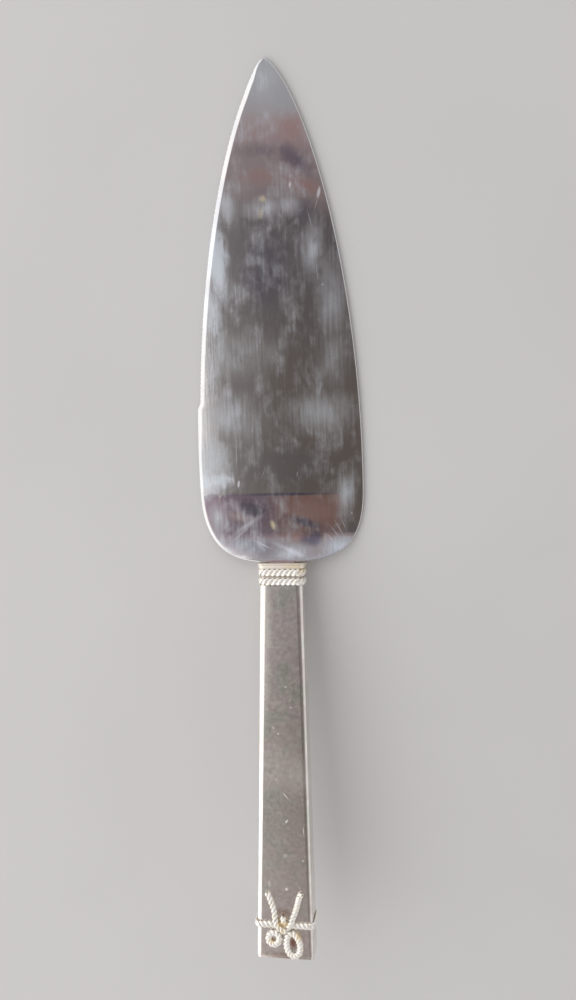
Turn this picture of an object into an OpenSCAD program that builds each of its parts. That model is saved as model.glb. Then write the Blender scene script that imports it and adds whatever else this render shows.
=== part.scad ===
// Wedding cake server: a leaf-shaped steel blade with a finely scalloped ground edge, and a hollow
// handle of rectangular section, trimmed with two rope rings, a rope band and a rope bow.
// The blade's flat underside lies on z = 0 with its tip towards +Y, and the handle rises backwards.

/* [Blade] */
// Length of the blade from its tip to its heel
blade_len = 154; // [130:1:180]
// Greatest width of the blade
blade_w = 53.7; // [44:0.1:64]
// Thickness of the blade's plate and of its tang
blade_t = 1.3; // [1:0.1:2.2]
// Distance from the heel to the blade's widest place
heel_len = 27; // [22:0.5:36]
// How fast the leaf narrows to its tip, low for a full leaf
leaf_power = 1.35; // [1.1:0.01:1.6]
// How square the heel's two corners are
heel_power = 3.1; // [2.6:0.1:4.5]

/* [Ground edge] */
// Distance from the heel to the notch where the ground edge begins
notch_from_heel = 52; // [40:0.5:60]
// How far the ground edge stands back from the leaf's outline
ground_in = 0.75; // [0.6:0.05:1.3]
// Width of the ground bevel
bevel_w = 1.5; // [0.8:0.1:2]
// Thickness left at the ground edge
edge_t = 0.55; // [0.3:0.05:0.8]
// Pitch of the fine scallops along the ground edge
scallop_pitch = 1.4; // [1.1:0.1:2.4]
// Depth of the fine scallops
scallop_depth = 0.14; // [0.1:0.02:0.4]

/* [Neck and tang] */
// Distance from the heel forwards to the corner where the blade bends up
neck_corner = 7.5; // [6:0.5:10]
// Radius of the bend that lifts the heel
neck_r = 28; // [15:1:40]
// Radius of the bend back into the line of the handle
tang_r = 15; // [8:1:20]
// Distance from the heel backwards to the corner of that second bend
tang_corner = 1; // [0.5:0.1:2]
// Width of the tang
tang_w = 8; // [6:0.5:9.5]
// Length of the tang behind the heel
tang_len = 34; // [26:1:50]

/* [Handle] */
// Length of the handle from the collar's front to the butt
handle_len = 127; // [105:1:145]
// Angle at which the handle rises from the table, in degrees
handle_rise = 10; // [6:0.5:14]
// Width of the handle where it meets the blade
handle_w_front = 13.6; // [12:0.1:16]
// Width of the handle at its butt
handle_w_butt = 18.4; // [16:0.1:22]
// Thickness of the handle where it meets the blade
handle_t_front = 7.4; // [6.5:0.1:9]
// Thickness of the handle at its butt
handle_t_butt = 9.6; // [8.5:0.1:12]
// Radius of the handle's long edges where it meets the blade
edge_r_front = 1.9; // [1.2:0.1:2.4]
// Radius of the handle's long edges at its butt
edge_r_butt = 1.3; // [1:0.1:2]
// Wall of the hollow handle
wall = 0.7; // [0.5:0.05:0.9]
// Thickness of the plate that closes the butt
cap_t = 1; // [0.6:0.1:1.6]
// Rounding of the butt plate's edge
cap_round = 0.3; // [0.1:0.05:0.5]
// How far the cement reaches past the tang
cement_over = 3; // [1:0.5:8]

/* [Collar] */
// Length of the collar's rim
rim_len = 0.8; // [0.6:0.05:1.4]
// Length of the plain band behind the rim
band_len = 1.05; // [0.8:0.05:2.4]
// How far the rim stands out from the handle at its sides
rim_out_side = 0.95; // [0.6:0.05:1.3]
// How far the rim stands out from the handle's faces
rim_out_face = 0.5; // [0.3:0.05:0.8]
// How far the plain band's back edge stands out at the sides
band_out_side = 0.55; // [0.35:0.05:0.6]
// How far the plain band's back edge stands out from the faces
band_out_face = 0.3; // [0.1:0.05:0.3]
// Depth of the seats that the two rope rings lie in
seat_depth = 0.45; // [0.3:0.05:0.5]
// Length of the land between the two rope rings
land_len = 0.45; // [0.3:0.05:1.2]
// Length of the spigot inside the handle's shells
spigot_len = 5; // [3:0.5:8]

/* [Rope trim] */
// Diameter of the rope rings at the collar
ring_d = 2.4; // [1.6:0.1:3]
// Height of the rope rings as a share of their diameter, because the rope is pressed flat
ring_flat = 0.5; // [0.4:0.05:0.8]
// Diameter of the rope band near the butt
band_d = 2.1; // [1.6:0.1:2.4]
// Height of the rope band as a share of its diameter
band_flat = 0.42; // [0.35:0.01:0.7]
// Diameter of the bow's rope, in which the whole bow is laid out
bow_d = 1.9; // [1.5:0.1:2.1]
// Height of the bow's rope as a share of its diameter
bow_flat = 0.65; // [0.5:0.05:0.9]
// Length of one twist of a rope, in rope diameters
lay = 1.5; // [1.4:0.01:2.2]
// Space left between the bow and the butt's edge
bow_margin = 0.5; // [0.3:0.1:3]

/* [Fits] */
// Height of the collar's lowest edge above the table
table_gap = 0.5; // [0.3:0.1:2]
// Gap between the heel and the collar's front
heel_gap = 0.2; // [0.15:0.05:0.4]
// Clearance between pieces that are pushed into each other
fit_gap = 0.05; // [0.03:0.01:0.1]
// Clearance of a rope from what it lies on
rope_gap = 0.03; // [0.02:0.01:0.06]

/* [Hidden] */

steel = "lightsteelblue";
silver = "silver";
warm_silver = "wheat";

leaf_steps = 36;        // straight pieces along one side of the leaf
heel_steps = 14;        // straight pieces round one corner of the heel
scallop_steps = 4;      // straight pieces in each scallop
bevel_steps = 24;       // stretches of the ground bevel
bend_steps = 8;         // straight pieces in each bend of the plate
tip_plain = 3;          // length at the tip that stays plain
tip_fade = 10;          // length over which the ground edge's set-back fades at the tip
over = 1;               // how far a cutter runs past what it cuts
skin = 0.01;            // thickness of the slices that a hull joins
round_fn = 32;
strand_sides = 6;
rings_per_twist = 8;
strand_off = 1.04;      // a strand's middle from the rope's, in quarter ropes
strand_size = 0.92;     // a strand's radius, in quarter ropes

leaf_len = blade_len - heel_len;
flange_len = rim_len + band_len;
seat_len = ring_d + 2 * rope_gap;
shell_start = flange_len + 2 * seat_len + land_len;
shell_end = handle_len - cap_t;
spigot_end = shell_start + spigot_len;
ring_h = ring_d * ring_flat;
band_h = band_d * band_flat;
bow_h = bow_d * bow_flat;

// height of the handle's centre line at the heel, and the middle of the whole length
axis_z = (handle_t_front / 2 + rim_out_face) * cos(handle_rise) + table_gap;
back_len = handle_len * cos(handle_rise) + (handle_t_butt / 2 - cap_round) * sin(handle_rise);
heel_y = (back_len - blade_len) / 2;

// points round an egg-shaped loop, turned and somewhat fuller at its lower end
function loop_points(middle, long, short, turn, fuller) = [for (a = [0 : 30 : 330])
    let (x = short * (1 + fuller * cos(a)) * sin(a), y = -long * cos(a))
    middle + [x * cos(turn) - y * sin(turn), x * sin(turn) + y * cos(turn)]];

// The bow's outline, in rope diameters from the middle of the band: x to the right, y to the tip
tail_left_route = [[-2.92, 5.4], [-2.5, 4.5], [-2.1, 3.45], [-1.77, 2.35], [-1.55, 1.2],
    [-1.36, 0.3], [-0.92, -0.27], [-0.35, -0.62], [0.2, -0.98]];
tail_right_route = [[3, 5.3], [2.62, 4.95], [2.38, 4.2], [2.03, 2.85], [1.53, 1.45], [1.16, 0.5],
    [0.84, 0.05], [0.46, -0.29]];
loop_left_route = loop_points([-1.83, -2.3], 0.96, 0.93, 0, 0);
loop_right_route = loop_points([1.44, -3.17], 1.93, 1.12, 10, 0.1);
knot_route = [[-0.2, 1.5], [-0.14, 1.12], [-0.1, 0.78], [-0.08, 0.42]];
bow_drop = 5.55;        // rope diameters from the middle of the band to the bow's lowest edge
band_back = handle_len - bow_margin - bow_drop * bow_d;

// ---- the blade's outline and side view

// half width of the leaf at a distance y in front of the heel
function half_width(y) = y >= heel_len
    ? blade_w / 2 * pow(1 - pow((y - heel_len) / leaf_len, 2), leaf_power / 2)
    : blade_w / 2 * pow(1 - pow((heel_len - y) / heel_len, heel_power), 1 / heel_power);

// the ground edge's place, without its scallops
function ground_x(y) = -max(0, half_width(y) - ground_in * min(1, (blade_len - y) / tip_fade));

ground_len = blade_len - tip_plain - notch_from_heel;
scallops = floor(ground_len / scallop_pitch);
scallop_len = ground_len / scallops;
function scallop(share) = scallop_depth * 4 * share * (1 - share);

right_side = [for (i = [1 : leaf_steps - 1])
    let (y = heel_len + leaf_len * cos(90 * i / leaf_steps)) [half_width(y), y]];
ground_side = [for (i = [0 : scallops - 1]) for (k = [0 : scallop_steps - 1])
    let (y = notch_from_heel + (i + k / scallop_steps) * scallop_len)
    [ground_x(y) + scallop(k / scallop_steps), y]];
plain_left = [for (i = [0 : leaf_steps - 1])
    let (y = heel_len + leaf_len * sin(90 * i / leaf_steps)) if (y < notch_from_heel) [-half_width(y), y]];
function heel_side(side) = [for (i = [0 : heel_steps])
    let (a = 90 * i / heel_steps)
    [side * blade_w / 2 * pow(sin(a), 2 / heel_power), heel_len * (1 - pow(cos(a), 2 / heel_power))]];

// points from one straight run into the next, each with the plate's slope there
function heading(slope) = [-cos(slope), sin(slope)];
function upward(slope) = [sin(slope), cos(slope)];
function bend(corner, slope_in, slope_out, r) =
    let (turn = slope_out - slope_in, start = corner - heading(slope_in) * r * abs(tan(turn / 2)))
    [for (k = [0 : bend_steps]) let (a = turn * k / bend_steps)
        [start + r * (sin(abs(a)) * heading(slope_in) + sign(turn) * (1 - cos(a)) * upward(slope_in)),
            slope_in + a]];

first_corner = [neck_corner, blade_t / 2];
second_corner = [-tang_corner, axis_z + tang_corner * tan(handle_rise)];
neck_run = second_corner - first_corner;
neck_slope = atan2(neck_run[1], -neck_run[0]);
tang_tangent = tang_r * abs(tan((neck_slope - handle_rise) / 2));
neck_r_fit = min(neck_r, (norm(neck_run) - tang_tangent) / tan(neck_slope / 2));

function mid_line(extra) = concat(
    [[[blade_len + over, blade_t / 2], 0]],
    bend(first_corner, 0, neck_slope, neck_r_fit),
    bend(second_corner, neck_slope, handle_rise, tang_r),
    [[[0, axis_z] + heading(handle_rise) * (tang_len + extra), handle_rise]]
);

// the plate seen from the side, as wide as asked, and grown all round by extra
module plate_from_side(w, extra) {
    line = mid_line(extra);
    half = blade_t / 2 + extra;
    rotate([90, 0, 90])
        linear_extrude(w, center = true)
            polygon(concat(
                [for (p = line) p[0] + half * upward(p[1])],
                [for (i = [len(line) - 1 : -1 : 0]) line[i][0] - half * upward(line[i][1])]
            ));
}

module leaf_prism() {
    translate([0, 0, -over])
        linear_extrude(axis_z + blade_t + 2 * over)
            polygon(concat(
                heel_side(1),
                [for (i = [len(right_side) - 1 : -1 : 0]) right_side[i]],
                [[0, blade_len]],
                [for (i = [len(ground_side) - 1 : -1 : 0]) ground_side[i]],
                [[-half_width(notch_from_heel), notch_from_heel]],
                [for (i = [len(plain_left) - 1 : -1 : 1]) plain_left[i]],
                [for (i = [heel_steps : -1 : 1]) heel_side(-1)[i]]
            ));
}

// a strip along the middle, from the heel back along the tang
module tang_strip(extra) {
    strip_w = tang_w + 2 * extra;
    translate([-strip_w / 2, -tang_len - over, -over])
        cube([strip_w, tang_len + 2 * over, axis_z + tang_len]);
}

// what the grinding wheel takes off along the scalloped edge
function ground_normal(y) =
    let (step = 0.2, d = [ground_x(y - step) - ground_x(y + step), -2 * step])
    [-d[1], d[0]] / norm(d);
module ground_cut() {
    slope = (blade_t - edge_t) / bevel_w;
    ys = [for (i = [0 : bevel_steps]) notch_from_heel + (ground_len + tip_plain / 2) * i / bevel_steps];
    spots = concat(
        [for (y = ys) let (p = [ground_x(y), y], n = ground_normal(y))
            [p - over * n, p + (bevel_w + over) * n]],
        [let (y = blade_len, n = ground_normal(y - tip_plain / 2))
            [[0, y + over] - over * n, [0, y + over] + (bevel_w + over) * n]]
    );
    low = edge_t - over * slope;
    high = blade_t + over * slope;
    tube([for (s = spots) [[s[0][0], s[0][1], low], [s[0][0], s[0][1], high], [s[1][0], s[1][1], high]]], false);
}

module blade() {
    color(steel)
        translate([0, heel_y, 0])
            difference() {
                intersection() {
                    plate_from_side(blade_w + 2 * over, 0);
                    union() {
                        leaf_prism();
                        tang_strip(0);
                    }
                }
                ground_cut();
            }
}

// the room that the tang needs in the collar and in the cement
module tang_room() {
    translate([0, heel_y, 0])
        intersection() {
            plate_from_side(blade_w, fit_gap);
            tang_strip(fit_gap);
        }
}

// ---- the handle, in its own frame: v is minus the distance behind the heel, z its thickness

module in_handle() {
    translate([0, heel_y, axis_z])
        rotate([-handle_rise, 0, 0])
            children();
}

function taper(back, front, butt) = front + (butt - front) * back / handle_len;
function wide(back) = taper(back, handle_w_front, handle_w_butt);
function thick(back) = taper(back, handle_t_front, handle_t_butt);
function edge_r(back) = taper(back, edge_r_front, edge_r_butt);

module section(w, t, r) {
    square([w - 2 * r, t], center = true);
    square([w, t - 2 * r], center = true);
    for (x = [-1, 1], y = [-1, 1])
        translate([x * (w / 2 - r), y * (t / 2 - r)])
            circle(r, $fn = round_fn);
}

// a straight length of section, from one distance behind the heel to another
module straight(back_from, back_to, w, t, r) {
    translate([0, -back_from, 0])
        rotate([90, 0, 0])
            linear_extrude(back_to - back_from)
                section(w, t, r);
}

module slice(back, w, t, r) {
    straight(back, back + skin, w, t, r);
}

// a length of the tapering handle, smaller all round by inset
module tapering(back_from, back_to, inset) {
    hull() {
        for (back = [back_from, back_to - skin])
            slice(back, wide(back) - 2 * inset, thick(back) - 2 * inset, max(edge_r(back) - inset, skin));
    }
}

module shell(side) {
    size = handle_len + 2 * over;
    in_handle()
        difference() {
            tapering(shell_start, shell_end, 0);
            tapering(shell_start - over, shell_end + over, wall);
            translate([0, -handle_len / 2, -side * size / 2])
                cube(size, center = true);
        }
}

module handle_front_shell() {
    color(silver) shell(1);
}

module handle_back_shell() {
    color(silver) shell(-1);
}

module butt_cap() {
    color(silver)
        in_handle()
            hull() {
                slice(shell_end, wide(handle_len), thick(handle_len), edge_r_butt);
                slice(handle_len - skin, wide(handle_len) - 2 * cap_round,
                    thick(handle_len) - 2 * cap_round, edge_r_butt - cap_round);
            }
}

module tang_cement() {
    color("dimgray")
        difference() {
            in_handle() tapering(spigot_end, tang_len + cement_over, wall + fit_gap);
            tang_room();
        }
}

// ---- the collar

seat_w = wide(flange_len) - 2 * seat_depth;
seat_t = thick(flange_len) - 2 * seat_depth;
seat_r = edge_r_front - seat_depth;
land_start = flange_len + seat_len;
spigot_inset = wall + fit_gap;

module collar() {
    color(warm_silver)
        difference() {
            in_handle() {
                straight(heel_gap, rim_len, handle_w_front + 2 * rim_out_side,
                    handle_t_front + 2 * rim_out_face, edge_r_front);
                hull() {
                    slice(rim_len, handle_w_front + 2 * rim_out_side - 2 * fit_gap,
                        handle_t_front + 2 * rim_out_face - 2 * fit_gap, edge_r_front);
                    slice(flange_len - skin, wide(flange_len) + 2 * band_out_side,
                        thick(flange_len) + 2 * band_out_face, edge_r_front);
                }
                straight(rim_len, shell_start, seat_w, seat_t, seat_r);
                straight(land_start, land_start + land_len, wide(land_start), thick(land_start),
                    edge_r(land_start));
                straight(rim_len, spigot_end, wide(shell_start) - 2 * spigot_inset,
                    thick(shell_start) - 2 * spigot_inset, edge_r(shell_start) - spigot_inset);
            }
            tang_room();
        }
}

// ---- ropes of two twisted strands

function unit(v) = v / norm(v);
function beside(i, step, count, closed) = closed ? (i + step + count) % count : max(0, min(count - 1, i + step));
function tangents(p, closed) = [for (i = [0 : len(p) - 1])
    unit(p[beside(i, 1, len(p), closed)] - p[beside(i, -1, len(p), closed)])];
function lengths(p, i = 1, sum = 0, out = [0]) = i >= len(p)
    ? out
    : let (s = sum + norm(p[i] - p[i - 1])) lengths(p, i + 1, s, concat(out, [s]));

// one strand's sections along a route, where ups are the directions away from the surface below
function strand(route, ups, d, flat, twists, phase, closed) =
    let (
        n = len(route),
        r = d / 4,
        ahead = tangents(route, closed),
        sides = [for (i = [0 : n - 1]) unit(cross(ahead[i], ups[i]))],
        lifts = [for (i = [0 : n - 1]) cross(sides[i], ahead[i])],
        run = lengths(route),
        whole = closed ? run[n - 1] + norm(route[0] - route[n - 1]) : run[n - 1],
        arms = [for (i = [0 : n - 1]) let (a = phase + 360 * twists * run[i] / whole)
            r * strand_off * (cos(a) * lifts[i] + sin(a) * sides[i])],
        middles = route + arms,
        along = tangents(middles, closed),
        // turns that keep the sections from twisting about the strand's own middle
        rolls = closed ? round(twists * cos(45)) : twists * cos(45)
    )
    [for (i = [0 : n - 1])
        let (b = unit(cross(along[i], arms[i])), out = cross(b, along[i]))
        [for (k = [0 : strand_sides - 1])
            let (
                a = 360 * (k / strand_sides - rolls * run[i] / whole),
                q = arms[i] + r * strand_size * (cos(a) * out + sin(a) * b)
            )
            route[i] + q - (1 - flat) * (q * lifts[i]) * lifts[i]]];

// a closed skin over a row of sections with the same number of corners
module tube(rows, closed) {
    m = len(rows[0]);
    n = len(rows);
    last = closed ? n - 1 : n - 2;
    sides = [for (i = [0 : last]) for (k = [0 : m - 1])
        let (a = i * m + k, b = i * m + (k + 1) % m, c = ((i + 1) % n) * m + k, d = ((i + 1) % n) * m + (k + 1) % m)
        each [[a, d, b], [a, c, d]]];
    ends = closed ? [] : [for (k = [1 : m - 2]) each
        [[0, k, k + 1], [(n - 1) * m, (n - 1) * m + k + 1, (n - 1) * m + k]]];
    polyhedron(points = [for (row = rows) each row], faces = concat(sides, ends));
}

module rope(route, ups, d, flat, twists, closed) {
    for (phase = [0, 180])
        tube(strand(route, ups, d, flat, twists, phase, closed), closed);
}

// a rounded rectangle's point at a distance s along it, in the plane across the handle
function ring_point(s, w, t, r) =
    let (
        a = w - 2 * r, b = t - 2 * r, q = PI * r / 2,
        half = a + b + 2 * q,
        turned = s >= half,
        u = turned ? s - half : s,
        p = u < a ? [u - a / 2, t / 2]
            : u < a + q ? [a / 2, b / 2] + r * [sin(90 * (u - a) / q), cos(90 * (u - a) / q)]
            : u < a + q + b ? [w / 2, b / 2 - (u - a - q)]
            : [a / 2, -b / 2] + r * [cos(90 * (u - a - q - b) / q), -sin(90 * (u - a - q - b) / q)]
    )
    turned ? -p : p;

// a rope ring round a section of the handle, lying on it
module ring(back, w, t, r, d, flat, hand) {
    lift = d * flat / 2 + rope_gap;
    rw = w + 2 * lift;
    rt = t + 2 * lift;
    rr = r + lift;
    around = 2 * (rw + rt) - (8 - 2 * PI) * rr;
    twists = round(around / (lay * d));
    count = twists * rings_per_twist;
    flat_route = [for (i = [0 : count - 1]) ring_point(around * i / count, rw, rt, rr)];
    route = [for (p = flat_route) [p[0], -back, p[1]]];
    ahead = tangents(route, true);
    ups = [for (t = ahead) cross(t, [0, 1, 0])];
    in_handle() rope(route, ups, d, flat, hand * twists, true);
}

module collar_rope_upper() {
    color(warm_silver)
        ring(flange_len + seat_len / 2, seat_w, seat_t, seat_r, ring_d, ring_flat, -1);
}

module collar_rope_lower() {
    color(warm_silver)
        ring(land_start + land_len + seat_len / 2, seat_w, seat_t, seat_r, ring_d, ring_flat, -1);
}

module band_rope() {
    far = band_back + band_d / 2;
    color(warm_silver)
        ring(band_back, wide(far), thick(far), edge_r_butt, band_d, band_flat, 1);
}

// ---- the bow on the handle's face

function spline_point(a, b, c, d, t) =
    0.5 * (2 * b + (c - a) * t + (2 * a - 5 * b + 4 * c - d) * t * t + (3 * b - a - 3 * c + d) * t * t * t);
function spline(p, closed, steps) =
    let (n = len(p), last = closed ? n - 1 : n - 2)
    concat(
        [for (i = [0 : last]) for (k = [0 : steps - 1])
            spline_point(p[beside(i, -1, n, closed)], p[i], p[beside(i, 1, n, closed)],
                p[beside(i, 2, n, closed)], k / steps)],
        closed ? [] : [p[n - 1]]
    );

// how far a rope that crosses the band is lifted, at y from the middle of the band
lift_flat = band_d / 2 + 0.3 * bow_d;
lift_run = 1.1 * bow_d;
function over_band(y) =
    let (x = min(1, max(0, (abs(y) - lift_flat) / lift_run)))
    (band_h + rope_gap) * (1 + cos(180 * x)) / 2;

module bow_rope(shape, closed, crosses, hand) {
    steps = round(rings_per_twist / lay * 1.1);
    route = [for (p = spline(bow_d * shape, closed, steps))
        let (back = band_back - p[1])
        [p[0], -back, thick(back) / 2 + bow_h / 2 + rope_gap + (crosses ? over_band(p[1]) : 0)]];
    run = lengths(route);
    twists = round(run[len(run) - 1] / (lay * bow_d));
    ups = [for (p = route) [0, 0, 1]];
    color(warm_silver)
        in_handle() rope(route, ups, bow_d, bow_flat, hand * twists, closed);
}

module bow_knot() {
    bow_rope(knot_route, false, true, 1);
}

module bow_loop_left() {
    bow_rope(loop_left_route, true, false, 1);
}

module bow_loop_right() {
    bow_rope(loop_right_route, true, false, 1);
}

module bow_tail_left() {
    bow_rope(tail_left_route, false, true, -1);
}

module bow_tail_right() {
    bow_rope(tail_right_route, false, true, 1);
}

blade();
tang_cement();
collar();
handle_front_shell();
handle_back_shell();
butt_cap();
collar_rope_upper();
collar_rope_lower();
band_rope();
bow_knot();
bow_loop_left();
bow_loop_right();
bow_tail_left();
bow_tail_right();
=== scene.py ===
import logging
import math
from dataclasses import dataclass
from enum import Enum

import bmesh
import bpy
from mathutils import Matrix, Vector


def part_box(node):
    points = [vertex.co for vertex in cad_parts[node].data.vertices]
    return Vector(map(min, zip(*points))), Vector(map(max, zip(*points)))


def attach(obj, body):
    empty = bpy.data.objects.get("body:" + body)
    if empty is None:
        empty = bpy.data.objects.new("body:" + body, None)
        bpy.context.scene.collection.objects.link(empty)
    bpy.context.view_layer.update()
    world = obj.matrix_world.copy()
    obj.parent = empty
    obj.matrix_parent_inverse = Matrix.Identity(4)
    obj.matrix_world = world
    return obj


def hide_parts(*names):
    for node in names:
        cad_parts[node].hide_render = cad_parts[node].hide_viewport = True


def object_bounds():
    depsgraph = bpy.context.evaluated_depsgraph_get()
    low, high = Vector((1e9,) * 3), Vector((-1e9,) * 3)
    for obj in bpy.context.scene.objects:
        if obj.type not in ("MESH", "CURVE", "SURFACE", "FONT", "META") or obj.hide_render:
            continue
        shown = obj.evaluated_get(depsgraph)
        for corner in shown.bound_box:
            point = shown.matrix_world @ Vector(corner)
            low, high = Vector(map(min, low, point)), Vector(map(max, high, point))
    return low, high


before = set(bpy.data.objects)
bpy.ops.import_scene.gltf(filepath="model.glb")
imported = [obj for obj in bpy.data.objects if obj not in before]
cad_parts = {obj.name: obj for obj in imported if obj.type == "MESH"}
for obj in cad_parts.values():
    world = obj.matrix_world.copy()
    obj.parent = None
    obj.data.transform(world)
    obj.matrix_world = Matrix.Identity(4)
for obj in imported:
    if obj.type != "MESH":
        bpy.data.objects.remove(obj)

MM = 0.001
LOG = logging.getLogger("cake_server")
CAD_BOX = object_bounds()

Point = tuple[float, float, float]
Spot = tuple[float, float]
Colour = tuple[float, float, float]
Face = tuple[int, ...]
Shape = tuple[list[Point], list[Face]]


# ---- small helpers


def smooth_step(value: float, low: float, high: float) -> float:
    """Ease from 0 at low to 1 at high."""
    share = min(1.0, max(0.0, (value - low) / (high - low)))
    return share * share * (3 - 2 * share)


def spread(low: float, high: float, count: int, last: bool = True) -> list[float]:
    """Space numbers evenly.

    Args:
        low: The first number.
        high: The number after or at the end.
        count: How many steps lie between them.
        last: Whether the end itself is in the list.

    Returns:
        The numbers in order.
    """
    return [low + (high - low) * i / count for i in range(count + int(last))]


def new_piece(name: str, points: list[Point], faces: list[Face], crease: float) -> bpy.types.Object:
    """Make a closed, outward-facing mesh object in metres.

    Args:
        name: The piece's name.
        points: Its corners.
        faces: Its faces, as places in the list of corners.
        crease: The angle in degrees past which an edge stays crisp.

    Returns:
        The object, at the origin.
    """
    mesh = bpy.data.meshes.new(name)
    mesh.from_pydata(points, [], faces)
    shape = bmesh.new()
    shape.from_mesh(mesh)
    bmesh.ops.remove_doubles(shape, verts=shape.verts, dist=0.002 * MM)
    bmesh.ops.dissolve_degenerate(shape, edges=shape.edges, dist=0.001 * MM)
    bmesh.ops.recalc_face_normals(shape, faces=shape.faces)
    shape.to_mesh(mesh)
    shape.free()
    for face in mesh.polygons:
        face.use_smooth = True
    mesh.set_sharp_from_angle(angle=math.radians(crease))
    piece = bpy.data.objects.new(name, mesh)
    bpy.context.scene.collection.objects.link(piece)
    return piece


def loft(rows: list[list[Point]], closed: bool = False, capped: bool = False) -> Shape:
    """Skin a row of closed sections that have the same number of corners.

    Args:
        rows: The sections, in order.
        closed: Whether the last section joins the first.
        capped: Whether the two ends get a flat face.

    Returns:
        The corners and the faces.
    """
    size = len(rows[0])
    faces: list[Face] = []
    for i in range(len(rows) if closed else len(rows) - 1):
        j = (i + 1) % len(rows)
        for k in range(size):
            n = (k + 1) % size
            faces.append((i * size + k, i * size + n, j * size + n, j * size + k))
    if capped:
        faces.append(tuple(range(size)))
        faces.append(tuple((len(rows) - 1) * size + k for k in range(size)))
    return [point for row in rows for point in row], faces


# ---- calculating inside node trees


class Wire:
    """A value that flows through a node tree and that code can calculate with."""

    def __init__(self, tree: bpy.types.NodeTree, socket: bpy.types.NodeSocket) -> None:
        """Hold a node's output."""
        self.tree = tree
        self.socket = socket

    def feed(self, socket: bpy.types.NodeSocket) -> None:
        """Lead this value into a socket."""
        self.tree.links.new(self.socket, socket)

    def _node(
        self, kind: str, operation: str, others: tuple["Wire | float | Point", ...]
    ) -> bpy.types.Node:
        """Add a calculating node, with this value as its first input.

        Args:
            kind: The node's type.
            operation: What it calculates.
            others: Its other inputs.

        Returns:
            The node.
        """
        node = self.tree.nodes.new(kind)
        node.operation = operation
        for socket, value in zip(node.inputs, (self, *others)):
            put(socket, value)
        return node

    def maths(self, operation: str, *others: "Wire | float") -> "Wire":
        """Calculate a number from this number and others."""
        return Wire(self.tree, self._node("ShaderNodeMath", operation, others).outputs[0])

    def vector(self, operation: str, *others: "Wire | float | Point") -> "Wire":
        """Calculate a vector from this vector and others."""
        return Wire(self.tree, self._node("ShaderNodeVectorMath", operation, others).outputs["Vector"])

    def scaled(self, factor: "Wire | float") -> "Wire":
        """Make this vector longer or shorter.

        Args:
            factor: What it is multiplied by.

        Returns:
            The new vector.
        """
        node = self._node("ShaderNodeVectorMath", "SCALE", ())
        put(node.inputs["Scale"], factor)
        return Wire(self.tree, node.outputs["Vector"])

    def dot(self, other: "Wire | Point") -> "Wire":
        """Multiply two vectors into a number."""
        return Wire(self.tree, self._node("ShaderNodeVectorMath", "DOT_PRODUCT", (other,)).outputs["Value"])

    def length(self) -> "Wire":
        """Measure this vector."""
        return Wire(self.tree, self._node("ShaderNodeVectorMath", "LENGTH", ()).outputs["Value"])

    def parts(self) -> tuple["Wire", "Wire", "Wire"]:
        """Split this vector into its numbers.

        Returns:
            The three numbers.
        """
        node = self.tree.nodes.new("ShaderNodeSeparateXYZ")
        self.feed(node.inputs[0])
        x, y, z = (Wire(self.tree, output) for output in node.outputs)
        return x, y, z

    def ease(self, low: float, high: float, top: float = 1.0) -> "Wire":
        """Turn this number into an eased share.

        Args:
            low: Where the share is none, which may lie above the other end.
            high: Where it is whole.
            top: What the whole share counts.

        Returns:
            The share.
        """
        node = self.tree.nodes.new("ShaderNodeMapRange")
        node.interpolation_type = "SMOOTHSTEP"
        for name, value in (("From Min", low), ("From Max", high), ("To Min", 0.0), ("To Max", top)):
            node.inputs[name].default_value = value
        self.feed(node.inputs["Value"])
        return Wire(self.tree, node.outputs[0])

    def __add__(self, other: "Wire | float") -> "Wire":
        """Add."""
        return self.maths("ADD", other)

    def __sub__(self, other: "Wire | float") -> "Wire":
        """Take away."""
        return self.maths("SUBTRACT", other)

    def __mul__(self, other: "Wire | float") -> "Wire":
        """Multiply."""
        return self.maths("MULTIPLY", other)

    def __truediv__(self, other: "Wire | float") -> "Wire":
        """Divide."""
        return self.maths("DIVIDE", other)


def put(socket: bpy.types.NodeSocket, value: "Wire | float | Point | str | object") -> None:
    """Lead a wire into a socket, or write a plain value on it."""
    if isinstance(value, Wire):
        value.feed(socket)
    else:
        socket.default_value = value


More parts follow.
